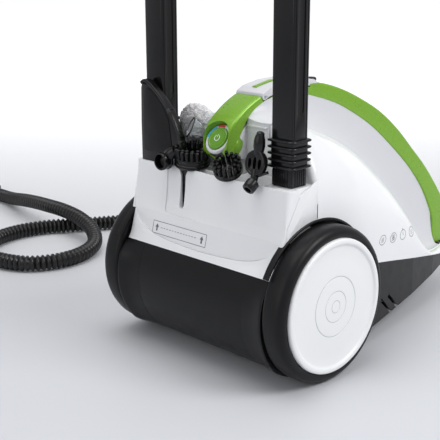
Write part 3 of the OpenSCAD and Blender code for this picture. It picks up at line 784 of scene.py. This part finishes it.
knob = on_axis(
    "knob_skirt", [(8, -3.4), (19.6, -3.4), (20.2, -2.6), (20.4, -2), (20.5, 5.5), (20.1, 6.6),
    (19.4, 7.1), (15.9, 7.4), (15.7, 3.6), (8, 3.4)], CHARCOAL, 192, True, knurl)
settle(knob, "knob", "dark_grey_plastic", "regulator_knob")
face_ring = on_axis(
    "knob_face", [(15.6, 7.2), (20.0, 7.0), (20.5, 8.6), (20.2, 10.4), (19.2, 11.5), (17.8, 11.9),
    (16.4, 11.7), (15.7, 11.0)], GREY, 96)
settle(face_ring, "knob", "grey_plastic")
cap = on_axis(
    "power_cap", [(0, -1), (7, -1), (7, 7), (15.1, 7.4), (15.3, 12.2), (14.8, 13.2), (13.4, 13.8),
    (12.6, 13.3), (11.8, 13.0), (6, 13.5), (0, 13.7)], GREEN_DEEP, 96, False)
settle(cap, "power_button", "green_plastic", "power_button")


def on_knob(radius, turn, height):
    """A point on the knob's face: turn counts from straight up the panel, clockwise."""
    up = Vector(X_AXIS).cross(KNOB_AXIS)
    side = Vector((-1, 0, 0))
    a = math.radians(turn)
    return KNOB_BASE + KNOB_AXIS * height + up * radius * math.cos(a) + side * radius * math.sin(a)


def face_arc(name, radius, start, end, width, height, material, body, slot):
    points = [on_knob(radius, start + (end - start) * k / 24, height) for k in range(25)]
    rings = []
    for p in points:
        out = (p - KNOB_BASE - KNOB_AXIS * height).normalized()
        rings.append([p + out * s * width / 2 + KNOB_AXIS * h
                      for s, h in ((-1, -0.6), (1, -0.6), (1, 0.22), (-1, 0.22))])
    settle(loft(name, rings, material), body, slot)


face_arc("scale_blue", 17.7, -92, -30, 2.9, 11.75, BLUE, "knob", "grey_plastic")
face_arc("scale_red", 17.7, -26, 12, 2.9, 11.75, RED, "knob", "grey_plastic")
face_arc("power_ring", 4.0, 35, 325, 0.8, 13.55, INK_WHITE, "power_button", "green_plastic")
face_arc("power_ring_outer", 10.6, 0, 359.9, 0.5, 13.2, GREEN, "power_button", "green_plastic")
bar = tube_along("power_bar", [on_knob(1.2, 0, 13.6), on_knob(4.8, 0, 13.55)], 0.45, INK_WHITE, 8)
settle(bar, "power_button", "green_plastic")
ring_plate = on_axis("dial_floor", [(6, -7.8), (21.2, -7.8), (21.2, -4.1), (6, -4.1)], GREY, 64)
settle(ring_plate, "machine", "grey_plastic", "dial_ring")

# --- Filler lid ---
LID = [(-24, 335.8), (-21, 337), (-19.8, 341), (-21, 345), (-32, 350.5), (-60, 355.5),
       (-95, 357), (-122, 354), (-128, 350), (-128, 345), (-95, 347.5), (-60, 345.5), (-34, 340)]
LID_R = [1, 3, 4, 3, 14, 30, 30, 5, 3, 1, 20, 20, 8]
LID_UNDER = [(-38, 330), (-38, 346), (-60, 350), (-95, 352), (-116, 350), (-116, 330)]
TRIM = [(-30, 350.2), (-60, 355.8), (-95, 357.3), (-122, 354.4), (-122, 355.4), (-95, 358.4),
        (-60, 356.9), (-30, 351.2)]
TRIM_R = [0, 20, 20, 0, 0, 20, 20, 0]
lid = soften(prism("filler_lid_skin", "x", rounded(LID, LID_R), -24, 24, GREY), 2.0, 3, 40)
combine(lid, prism("lid_under", "x", LID_UNDER, -18, 18))
settle(lid, "lid", "grey_plastic", "filler_lid")
trim = prism("lid_strip", "x", rounded(TRIM, TRIM_R), -4, 4, GREEN)
settle(soften(trim, 0.35, 2), "lid", "green_plastic", "lid_trim")


def oval(turn, r, h):
    return 1.0 if r < 6.2 else 1.0 - 0.12 * abs(math.cos(turn)) ** 2


button = lathe(
    "release_cap", [(0, 340), (5.9, 340), (5.9, 347.5), (7.6, 348.4), (8.0, 350.4), (7.2, 352.4),
    (5.0, 353.4), (0, 353.7)], BUTTON, Z_AXIS, BLACK_GLOSS, 64, False, oval)
settle(button, "release_button", "black_gloss", "release_button")

# --- Wheels ---
TYRE = [
    (86, 135.4), (93, 134.6), (97, 135.2), (99.3, 137.4), (100, 140.5), (100, 154), (99.5, 158.2),
    (98.3, 161.6), (96.3, 164.2), (93.6, 165.9), (90.4, 166.6), (87.8, 166.3), (86, 165.2)]
DISC = [
    (6.3, 136.5), (15, 136.5), (15, 158), (80, 159.6), (82, 159.6), (82, 143.5), (85.6, 143.5),
    (85.9, 145), (85.9, 165.8), (85.6, 168.0), (84.9, 169.3), (83.6, 169.95), (80.4, 170.0),
    (78.9, 169.5), (77.8, 168.3), (76.9, 167.4), (75.2, 167.0), (58, 167.5), (39.1, 167.9), (38.7, 167.5),
    (38.0, 167.5), (37.6, 167.95), (20.4, 168.2), (20.1, 167.8), (19.5, 167.8), (19.2, 168.2),
    (8.4, 168.35), (8.1, 167.95), (7.5, 167.95), (7.2, 168.4), (0.5, 168.4), (0.5, 163), (6.3, 163)]
DISC_LINES = ((38.35, 167.55), (19.8, 167.85), (7.8, 168.0))
LINE_W = 0.34


def about_axle(name, profile, sign, material, steps):
    return lathe(name, [(r, sign * h) for r, h in profile], HUB, X_AXIS, material, steps, True)


def tyre(side, sign):
    shape = about_axle("tyre_" + side + "_skin", TYRE, sign, RUBBER, 160)
    settle(shape, "wheel_" + side, "tyre_rubber", "tyre_" + side)


def disc(side, sign):
    shape = about_axle("disc_" + side + "_skin", DISC, sign, WHITE_SATIN, 160)
    settle(shape, "wheel_" + side, "white_shell", "disc_" + side)
    # Grey rings in the disc's engraved grooves: painted shade for the shade inside the grooves.
    for i, (r, h) in enumerate(DISC_LINES):
        line = [(r - LINE_W, h - 0.1), (r - LINE_W, h + 0.06), (r + LINE_W, h + 0.06),
                (r + LINE_W, h - 0.1)]
        groove = about_axle("disc_" + side + "_ring_" + str(i), line, sign, GROOVE_SHADE, 96)
        settle(groove, "wheel_" + side, "white_shell")


def wheel_arch(side, sign):
    """The lining of the wheel opening, a thin black lip turned through an arc: painted shade for the dark
    shadow gap between the white body and the tyre.
    """
    section = rounded(
        [(102.4, 131.3), (105.6, 131.3), (105.6, 138.6), (104.6, 139.4), (102.4, 139.4)],
        [0.4, 0.4, 0.4, 0.8, 0.8], 3)
    rings = [[(sign * x, r * math.cos(a), AXLE_Z + r * math.sin(a)) for r, x in section]
             for a in sweep(28, 176, 72)]
    arch = loft("wheel_arch_" + side + "_skin", rings, BLACK_MATT)
    settle(arch, "machine", "black_shell", "wheel_arch_" + side)


BELLY_R = 93.3
BELLY_Z = 93.5


def belly_flare(side, sign):
    """The belly widens towards each wheel in a hollow curve."""
    rings = []
    for a in sweep(-66, 30, 48):
        grow = min(1, (30 - math.degrees(a)) / 14 + 0.12, (math.degrees(a) + 67) / 22)
        rings.append([(sign * x, r * math.cos(a), BELLY_Z + r * math.sin(a)) for r, x in (
            (91, 96), (93.1, 96), (BELLY_R + 0.3 * grow, 104), (BELLY_R + 1.3 * grow, 113),
            (BELLY_R + 3.2 * grow, 122), (BELLY_R + 5.4 * grow, 129),
            (BELLY_R + 6.1 * grow, 132.4), (BELLY_R + 5.6 * grow, 133.6), (91, 133.6))])
    flare = loft("belly_flare_" + side, rings, BLACK, angle=50)
    settle(flare, "machine", "black_shell")


def wheel_well(side, sign):
    """The body's own wall behind the wheel."""
    r = 118
    outline = [(min(r * math.cos(a), 57), AXLE_Z + r * math.sin(a)) for a in sweep(38, 182, 40)]
    low, high = sorted((sign * 128.6, sign * 130.2))
    well = prism(
        "wheel_well_" + side, "x", outline + [(-118, 92), (-60, 78), (57, 78)], low, high, BLACK_MATT)
    settle(well, "machine", "black_shell")


for build in (tyre, disc, wheel_arch, belly_flare, wheel_well):
    for side, sign in SIDES:
        build(side, sign)


# --- Bucket and the panel below it ---
RIM_Z = 249
POCKET_Z = 185
ABOVE_Z = 300
TUBE_X = 113.5
TUBE_Y = 29


def bucket_back(z):
    heights = (148, 152, 165, 185, 202, 222, RIM_Z)
    return along(heights, (73.4, 72.5, 69.4, 64.9, 61.1, 58.6, 57), z)


def panel_back(z):
    return along((141, 143, 150, 165, 185, 203), (80.4, 79.5, 75.5, 70.9, 65.6, 61), z)


def bucket_ring(z):
    back = bucket_back(z)
    if z < 203:
        step = 59.0
    elif z < 240:
        step = 58.8 - (z - 203) / 37 * 22.0
    else:
        step = 36.8 + (z - 240) * 0.36
    corner = min(9.0, (back - step) * 0.85)
    half = [(138, back), (138, step), (134.6, step), (134.6, 8), (33, 8), (33, 38)]
    outline = half + [(-x, y) for x, y in half[::-1]]
    radii = [corner, 0.01, 0.01, 3, 3, 1.5]
    return [(x, y, z) for x, y in rounded(outline, radii + radii[::-1], 6)]


CREASE = [(138, 203), (130, 181), (112, 165), (85, 156), (50, 152), (0, 150)]


def crease_cut(lift):
    """The curved seam between bucket and panel, with what lies above it."""
    half = [(p.x, p.y + lift) for p in through([(x, z, 0) for x, z in CREASE], 5)]
    outline = half + [(-x, z) for x, z in half[-2::-1]] + [(-139, 260), (139, 260)]
    return prism("crease", "y", outline, -20, 100)


def wheel_rooms():
    return [drill(106.2, s * 130.9, s * 180, HUB, X_AXIS, 96) for s in (1, -1)]


BUCKET_Z = [148, *np.linspace(152, 202, 11), 203.2, 210, 218, 226, 233, 239.9, 245, RIM_Z]
bucket = loft("bucket_skin", [bucket_ring(z) for z in BUCKET_Z], WHITE)
combine(bucket, crease_cut(0.4), "INTERSECT")
cut(bucket, *wheel_rooms())
SOCKET_X = 14.7
SOCKET_Y = 12.7
for side, sign in SIDES:
    x0 = sign * TUBE_X
    cut(bucket, box(x0 - SOCKET_X, x0 + SOCKET_X, TUBE_Y - SOCKET_Y, TUBE_Y + SOCKET_Y, 199, ABOVE_Z))
    low, high = sorted((sign * 36, sign * 95.6))
    pocket = rounded([(low, 11), (high, 11), (high, 53.6), (low, 53.6)], 3)
    cut(bucket, prism("pocket", "z", pocket, POCKET_Z, ABOVE_Z))
cut(bucket, box(-37, 37, 41, 53.8, POCKET_Z, ABOVE_Z), box(50, 129.5, 46, 53.8, POCKET_Z, ABOVE_Z))
HOLLOW = rounded([(7, 270), (7, 186), (74, 186), (74, 270)], [0, 9, 9, 0], 7)
BEHIND = [(bucket_back(z) - 1.9, z) for z in (180, 190, 200, 210, 222, 235, RIM_Z)]
hollow = prism("hollow", "y", HOLLOW, 40, 100)
behind = prism("behind", "x", BEHIND + [(55, 280), (100, 280), (100, 180)], -50, 120)
SLOT = [(34, 262), (35, 250), (40.4, 240), (40.8, 200), (42, 196), (48, 196), (49.2, 200),
        (49.6, 240), (55, 250), (56, 262)]
slot = prism("slot", "y", rounded(SLOT, [0, 0, 6, 1, 3, 3, 1, 6, 0, 0], 5), 53, 100)
cut(bucket, combine(hollow, behind, "INTERSECT"), slot)
settle(soften(bucket, 0.9, 2, 34), "bucket", "white_shell", "accessory_bucket")


def panel_ring(z):
    back = panel_back(z)
    front = along((141, 190, 203), (70, 60, 58.2), z)
    r = min(8.0, (back - front) * 0.85)
    outline = [(138, back), (138, front), (-138, front), (-138, back)]
    return [(x, y, z) for x, y in rounded(outline, [r, 0.01, 0.01, r], 6)]


PANEL_Z = (142.8, 145, 148, 152, 158, 165, 172, 180, 190, 197, 203)
panel = loft("rear_panel_skin", [panel_ring(z) for z in PANEL_Z], WHITE)
cut(panel, crease_cut(0), *wheel_rooms())
settle(soften(panel, 0.6, 2, 34), "machine", "white_shell", "rear_panel")

PRINT_UP = 0.14
PRINT_DOWN = 0.3


def ribbon(name, points, normal, width, material):
    """A thin printed line laid on a surface."""
    points = [Vector(p) for p in points]
    rings = []
    for i, p in enumerate(points):
        n = normal(p)
        side = heading(points, i).cross(n).normalized() * width / 2
        rings.append([p + side + n * PRINT_UP, p - side + n * PRINT_UP, p - side - n * PRINT_DOWN,
                      p + side - n * PRINT_DOWN])
    return loft(name, rings, material)


def on_back(x, z):
    return (x, bucket_back(z), z)


def back_normal(p):
    slope = (bucket_back(p.z + 1) - bucket_back(p.z - 1)) / 2
    return Vector((0, 1, -slope)).normalized()


label = []
for a, b in (((-11, 157), (91, 157)), ((91, 157), (91, 173)), ((91, 173), (-11, 173)),
             ((-11, 173), (-11, 157))):
    edge = [on_back(a[0] + (b[0] - a[0]) * t, a[1] + (b[1] - a[1]) * t)
            for t in (0, 0.25, 0.5, 0.75, 1)]
    label.append(ribbon("edge", edge, back_normal, 0.7, INK))
for cx in (-3, 83):
    arrow = [(cx - 1.3, 160.4), (cx + 1.3, 160.4), (cx + 1.3, 165.2), (cx + 3.4, 165.2),
             (cx, 169.8), (cx - 3.4, 165.2), (cx - 1.3, 165.2)]
    front = [Vector(on_back(x, z)) + back_normal(Vector((0, 0, z))) * PRINT_UP for x, z in arrow]
    back = [Vector(on_back(x, z)) - back_normal(Vector((0, 0, z))) * PRINT_DOWN for x, z in arrow]
    label.append(loft("arrow", [back, front], INK))
for k in range(13):
    cx = 7.5 + k * 5.4
    dash = [on_back(cx, 165.6), on_back(cx + 3.2, 165.6)]
    label.append(ribbon("dash", dash, back_normal, 0.7, INK))
settle(joined("bucket_label", label), "bucket", "dark_grey_plastic")


# --- Icons ---
ICON_WIDE = 1.5
ICON_CENTRES = ((-154, 143), (-188, 138), (-221, 134), (-254, 130))


def on_side(y, z):
    wall = shell_section(y)[:20]
    return Vector((-float(np.interp(z, [p[2] for p in wall], [p[0] for p in wall])), y, z))


def side_normal(p):
    a = on_side(p.y + 1, p.z) - on_side(p.y - 1, p.z)
    b = on_side(p.y, p.z + 1) - on_side(p.y, p.z - 1)
    n = a.cross(b).normalized()
    return n if n.x < 0 else -n


def side_line(points, width=0.6):
    return ribbon("line", [on_side(y, z) for y, z in points], side_normal, width, INK)


def side_ring(cy, cz, r, width=0.6, steps=28):
    return side_line(
        [(cy + ICON_WIDE * r * math.cos(a), cz + r * math.sin(a)) for a in sweep(0, 360, steps)], width)


def side_icons():
    marks = [side_ring(cy, cz, 6.6, 0.75) for cy, cz in ICON_CENTRES]
    cy, cz = ICON_CENTRES[0]
    for s in (-2, 0.4, 2.8):
        marks.append(side_line([(cy + s + 0.8 * math.sin(k * 0.9), cz - 3 + k * 0.85) for k in range(8)]))
    cy, cz = ICON_CENTRES[1]
    for a in (45, 135, 225, 315):
        dy, dz = 2.7 * math.cos(math.radians(a)), 2.7 * math.sin(math.radians(a))
        marks.append(side_ring(cy + dy, cz + dz, 1.7, 0.6, 14))
    cy, cz = ICON_CENTRES[2]
    marks.append(side_line([(cy, cz), (cy, cz + 4.2)]))
    marks.append(side_line([(cy, cz), (cy - 2.6, cz)]))
    marks.append(side_line([(cy, cz + 6.8), (cy, cz + 9.2)], 1.6))
    cy, cz = ICON_CENTRES[3]
    for s in (-2.2, 0, 2.2):
        marks.append(side_line([(cy - 3.6, cz + s), (cy + 3.6, cz + s)]))
    return joined("side_icons_right", marks)


settle_pair(side_icons(), "side_icons_left", "dark_grey_plastic")

# --- Extension tubes ---
LATCH_Z = 660
FLUTE = 3.8
FLUTE_STEPS = ((0.7, 0), (1.1, 1), (2.7, 1), (3.1, 0))
BELLOWS = ((0.0, 0.0), (0.3, 2.2), (0.9, 3.7), (2.0, 4.3), (3.1, 3.7), (3.7, 2.2), (4.0, 0.0), (7.6, 0.0))
BELLOWS_COUNT = 5


def fluted(hx, hy, depth):
    """A rectangle with small ribs along its four sides."""
    outline = []
    for ax, ay, bx, by in ((hx, hy, -hx, hy), (-hx, hy, -hx, -hy), (-hx, -hy, hx, -hy),
                           (hx, -hy, hx, hy)):
        length = math.hypot(bx - ax, by - ay)
        ux, uy = (bx - ax) / length, (by - ay) / length
        nx, ny = -uy, ux
        outline.append((ax + ux * 1.2, ay + uy * 1.2))
        count = 6 if length > 29 else 5
        start = (length - count * FLUTE) / 2
        for k in range(count):
            s = start + k * FLUTE
            for t, high in FLUTE_STEPS:
                d = high * depth
                outline.append((ax + ux * (s + t) + nx * d, ay + uy * (s + t) + ny * d))
        outline.append((bx - ux * 1.2, by - uy * 1.2))
    return outline


def tube_pieces(side, sign):
    x0 = sign * TUBE_X
    base = (x0, TUBE_Y, 0)
    latch_at = (x0, TUBE_Y, LATCH_Z)
    body = "tube_" + side

    def at(outline, z):
        return [(x0 + x, TUBE_Y + y, z) for x, y in outline]

    rings = [at(rect_ring(hx, hy, r), z) for hx, hy, r, z in (
        (16.6, 13.6, 2.6, 304), (17, 14, 3, 304.6), (17, 14, 3, 310), (17, 14, 3, 420),
        (17, 14, 3, 560), (17, 14, 3, 690), (17, 14, 3, 699), (16.2, 13.2, 2.6, 700))]
    shaft = loft(body + "_shaft", rings, BLACK_GLOSS)
    channel = rounded([(24.0, 336), (35.6, 336), (35.6, 655), (24.0, 655)], 5.8, 7)
    for face in (1, -1):
        cut(shaft, prism("channel", "x", channel, *sorted((x0 + face * 15.7, x0 + face * 20))))
        for gy in (19.4, 40.2):
            groove = [(gy - 0.5, 308), (gy + 0.5, 308), (gy + 0.5, 690), (gy - 0.5, 690)]
            cut(shaft, prism("groove", "x", groove, *sorted((x0 + face * 16.4, x0 + face * 20))))
    cut(shaft, drill(9, 200, 710, base, Z_AXIS, 48), drill(5.2, 10, 30, latch_at, Y_AXIS, 40))
    settle(soften(shaft, 0.5, 2, 34), body, "black_gloss", body)

    block = loft(body + "_block", [at(fluted(hx, hy, depth), z) for hx, hy, z, depth in (
        (16.3, 13.4, 249.7, 0.8), (16.3, 13.4, 268, 0.8), (15.4, 12.6, 271.5, 0.8),
        (15.2, 12.4, 305, 0.6))], BLACK_GLOSS)
    settle(block, body, "black_gloss")
    foot = loft(body + "_spigot", [at(rect_ring(hx, hy, 2), z) for hx, hy, z in (
        (13.2, 11.2, 201.2), (14.3, 12.3, 203), (14.3, 12.3, 252))], BLACK_GLOSS)
    settle(foot, body, "black_gloss")
    rings = []
    for i in range(BELLOWS_COUNT):
        z = 271.2 + 7.8 * i
        rings += [at(rect_ring(17.7 + grow, 14.7 + grow, 3.4 + grow, 4), z + dz) for dz, grow in BELLOWS]
    rings.pop()
    bellows = loft("collar_" + side + "_skin", rings, BLACK_GLOSS, angle=60)
    settle(bellows, body, "black_gloss", "tube_collar_" + side)
    latch = lathe(
        "latch_" + side + "_cap", [(0, 12), (4.9, 12), (4.9, 15.2), (4.4, 15.9), (3.2, 16.0), (2.6, 15.6),
        (0, 15.6)], latch_at, Y_AXIS, GREY, 40)
    settle(latch, "latch_" + side, "grey_plastic", "tube_latch_" + side)


for side, sign in SIDES:
    tube_pieces(side, sign)


# --- Accessories in the bucket ---
def loose(shape, *nodes):
    return settle(shape, "bucket", "black_gloss", *nodes)


BLADE = [
    (127, 191), (129, 250), (129.5, 300), (128.5, 346), (126, 352.5), (118, 357.5), (108, 355), (96, 347),
    (80, 334), (65, 318), (54, 300), (46, 280), (44, 262), (74, 258), (98, 244), (98, 191)]
BLADE_R = [1, 2, 8, 8, 5, 5, 8, 8, 12, 12, 8, 2, 2, 3, 3, 1]
BLADE_PANEL = [
    (124, 262), (124, 300), (122, 342), (115, 348), (102, 341), (86, 326), (74, 308), (68, 272),
    (84, 262)]
RIM = [(126, 352.8), (118, 357.6), (108, 355), (96, 347), (80, 334), (65, 318), (54, 300),
       (47.5, 283), (45.5, 270)]
RIM_Y = 53.5
RIM_TURN_Z = 340
blade = prism("squeegee_blade", "y", rounded(BLADE, BLADE_R, 4), 48.1, 53.4, BLACK_GLOSS)
loose(soften(blade, 0.9, 2), "squeegee_head")
raised = prism("squeegee_panel", "y", rounded(BLADE_PANEL, 6, 5), 52.8, 54.3, BLACK_MATT)
loose(soften(raised, 0.6, 2))


def rim_part(name, first, last, depth, reach, material):
    curve = through([(x, 0, z) for x, z in RIM], 8)[first:last]
    rings = []
    for i, p in enumerate(curve):
        d = heading(curve, i)
        inward = Vector((d.z, 0, -d.x))
        if inward.x < 0 and p.z < RIM_TURN_Z:
            inward = -inward
        if p.z >= RIM_TURN_Z and inward.z > 0:
            inward = -inward
        ring = []
        for a, b in rect_ring(depth / 2, reach / 2, 1.1):
            q = p + inward * (reach / 2 + b - 0.6)
            ring.append((q.x, RIM_Y + a, q.z))
        rings.append(ring)
    loose(loft(name, rings, material))


rim_part("squeegee_rim", 2, 65, 9.5, 4.2, BLACK_GLOSS)
rim_part("squeegee_joint_0", 37, 40, 10.3, 4.9, CHARCOAL)
rim_part("squeegee_joint_1", 55, 57, 10.3, 4.9, CHARCOAL)

ELBOW = (69, 60.5, 257)
elbow = lathe(
    "elbow_mouth", [(9.4, 14.4), (11.2, 14.4), (11.7, 13.6), (11.8, 10.5), (11.1, 9.8), (11.1, 4.2),
    (11.8, 3.6), (11.8, 1.2), (10.6, 0.2), (5, 0), (5, 3), (9.2, 4.5)], ELBOW, Y_AXIS, BLACK_GLOSS, 64,
    True)
loose(elbow, "elbow_nozzle")
tip = lathe("elbow_core", [(0, 3.4), (5.6, 3.4), (6.3, 4.2), (6.3, 8.6), (5.2, 9.4), (0, 9.4)],
            ELBOW, Y_AXIS, BLACK_MATT, 6)
loose(soften(tip, 0.5, 2))
loose(tube_along(
    "elbow_neck", [(70, 64, 257), (66, 63, 263), (62, 61.5, 267), (58.5, 60, 270), (55.5, 59, 272)],
    [6.0, 7.6, 8.0, 7.8, 6.4], BLACK_GLOSS, 32))


def brush(name, at, axis, base, tuft_rings, tuft_r, tuft_h, z0):
    """A round brush: a stepped disc with rings of thick bristle tufts."""
    at = Vector(at)
    splay = 0.1
    d, side, up = frame_of(axis)
    loose(lathe(name + "_base", base, at, axis, BLACK_GLOSS, 72), name)
    tufts = []
    for ring_r, count, shift in tuft_rings:
        for k in range(count):
            a = 2 * math.pi * (k + shift) / count
            out = side * math.cos(a) + up * math.sin(a)
            lean = (d + out * splay * (1 + 0.25 * math.sin(5.3 * k + ring_r))).normalized()
            root = at + d * z0 + out * ring_r
            tall = tuft_h * (1 + 0.07 * math.sin(3.7 * k + ring_r))
            shape = [
                (0, -1), (tuft_r * 0.8, -1), (tuft_r * 0.86, tall * 0.4), (tuft_r, tall * 0.86),
                (tuft_r * 0.9, tall), (tuft_r * 0.45, tall * 0.93), (0, tall * 0.9)]
            tufts.append(lathe("tuft", shape, root, lean, BRISTLE, 12))
    settle(joined(name + "_tufts", tufts), "bucket", "bristle", name + "_tufts")


brush(
    "round_brush", (42, 42, 255), (-0.15, 0.17, 0.97), [(0, -32), (6.4, -32), (7, -31), (7, -5), (13, -3),
    (22.0, -2.2), (23.4, -1.4), (23.6, 0.1), (22.2, 1.0), (22.0, 1.9), (23.2, 2.6), (23.3, 4.0),
    (22.0, 4.9), (21.9, 5.8), (22.9, 6.5), (22.9, 8.6), (22.2, 9.6), (21.2, 10.4), (10, 9.6), (0, 9.2)],
    ((19.6, 19, 0.0), (14.0, 13, 0.5)), 2.75, 12.0, 10.2)
brush(
    "small_brush", (-33, 51, 257), (-0.28, 0.5, 0.82), [(0, -8), (6.4, -8), (7, -7), (7, -1.4), (11, -1),
    (17.4, -0.6), (18.6, 0.4), (18.6, 1.6), (17.6, 2.3), (17.6, 3.1), (18.6, 3.8), (18.6, 5.8),
    (17.6, 6.8), (9, 6.6), (0, 6.4)], ((15.4, 15, 0.2), (10.4, 10, 0.5)), 2.4, 10.4, 6.6)
# A flat black plate behind the slot: painted shade that darkens the slot's hollow.
loose(prism("slot_shadow_plate", "y", rounded([(40, 194), (50, 194), (49, 250), (41, 250)], 2), 48.6, 52.4,
            BLACK_GLOSS))

PLATE = Vector((-86, 57, 276))
plate = lathe(
    "detail_plate", [(0, -4), (14.6, -4), (15.7, -3.2), (16.0, 0), (15.7, 3.2), (14.6, 4), (12.8, 4),
    (12.2, 3.2), (0, 3.2)], PLATE, (0, 0.985, 0.174), BLACK_GLOSS, 64)
for hx, tall in ((-8.0, 6.6), (0, 8.6), (8.0, 6.6)):
    hole = [(PLATE.x + hx + 2.7 * math.cos(a), PLATE.z + tall * math.sin(a))
            for a in np.linspace(0, 2 * math.pi, 21)[:-1]]
    cut(plate, prism("hole", "y", hole, 40, 80))
loose(soften(plate, 0.5, 2, 40), "detail_nozzle")
loose(tube_along(
    "detail_stem", [(-86, 53.5, 286), (-86.6, 53.2, 290), (-87, 53, 296), (-87.3, 52.8, 303),
    (-87.6, 52.6, 308), (-87.7, 52.6, 311.4)], [5.4, 6.2, 7.2, 7.0, 5.8, 4.2], BLACK_GLOSS, 24))
loose(lathe("detail_knob", [(0, -1), (4.4, -1), (5.2, 0.8), (4.7, 3.2), (2.8, 4.4), (0, 4.7)],
            (-88.2, 52.6, 309.5), (-0.25, 0, 1), BLACK_GLOSS, 24))
loose(tube_along(
    "detail_neck", [(-86, 57.5, 268), (-86.6, 59.5, 262), (-87, 62, 257), (-87.2, 64.5, 253)],
    [5.6, 4.8, 4.8, 5.8], BLACK_GLOSS, 24))
loose(lathe(
    "detail_mouth", [(4.6, 9.0), (6.9, 9.0), (7.8, 8.0), (8.1, 4), (8.1, -3), (6.6, -4.6),
    (0.6, -5), (0.6, 3), (4.4, 3.6)], (-87.5, 66, 251.5), (0, 0.75, -0.55), BLACK_GLOSS, 40, True))
loose(tube_along("detail_pin", [(-92, 60, 262), (-99, 57.5, 265), (-104, 56, 267)], 2.0, BLACK_GLOSS, 12))

CUP = (34, 26, 292)
CUP_AXIS = (0.52, 0.72, 0.42)
cup = lathe(
    "cup_wall", [(0.5, 0.2), (5.8, 0.2), (6.6, 1), (8.4, 7), (10.8, 14), (12.9, 20.4), (13.8, 21.0),
    (13.8, 21.9), (12.5, 22.2), (11.7, 20.8), (9.7, 14), (7.3, 7), (5.4, 2.4), (0.5, 1.8)], CUP, CUP_AXIS,
    CLEAR, 56, True)
settle(cup, "bucket", "clear_plastic", "filling_cup")
cup_lip = lathe(
    "cup_lip", [(12.9, 20.6), (14.0, 20.9), (14.0, 22.1), (12.8, 22.4)], CUP, CUP_AXIS, CHARCOAL, 56,
    True)
settle(cup_lip, "bucket", "clear_plastic")


def crumpled(name):
    """The terry cover, bunched into the pocket: a lumpy closed form with sharp little folds."""
    work = bmesh.new()
    bmesh.ops.create_icosphere(work, subdivisions=6, radius=1)
    centre = Vector((60, 15.6, 303))
    for vert in work.verts:
        n = vert.co.normalized()
        p = Vector((n.x * 34, n.y * 8.8, n.z * 24))
        if n.x > 0.1 and n.z < 0:
            p.z *= 1 + 2.2 * min((n.x - 0.1) / 0.3, 1) * (-n.z)
            p.x = 8 + (p.x - 8) * (1 - 0.25 * -n.z)
        broad = field.noise(p * 0.055)
        fold = abs(field.noise(p * 0.13 + Vector((3, 7, 1))))
        crease = abs(field.noise(p * 0.3 + Vector((9, 2, 5))))
        p += n * (2.4 * broad + 3.4 * (fold - 0.22) + 1.5 * (crease - 0.22))
        vert.co = place(centre + Vector((p.x, max(-9.2, min(p.y, 9.0)), p.z)))
    return finished(name, work, COTTON, 180)


bonnet = crumpled("cotton_cover")
settle(bonnet, "bucket", "cotton", "cotton_bonnet")

# --- Hose plug ---
grip = [(0, -57), (13.3, -57), (13.8, -55)]
for k in range(6):
    h = -53 + k * 5.4
    grip += [(13.9, h), (13.9, h + 2.6), (13.2, h + 3.1), (13.2, h + 4.9)]
grip += [(13.4, -20), (15.4, -19), (16, -17), (16, -4.6), (15.2, -3), (5.5, -2.6), (5.5, 12),
         (4.6, 13), (0, 13)]
plug = lathe("hose_plug_skin", grip, (0, -440, OUTLET_Z), Y_AXIS, BLACK_MATT, 72)
settle(plug, "machine", "black_gloss", "hose_plug")

tuple(place(HOSE_ROUTE[0]))
[tuple(place(p)) for p in hose_line[::8] + [hose_line[-1]]]
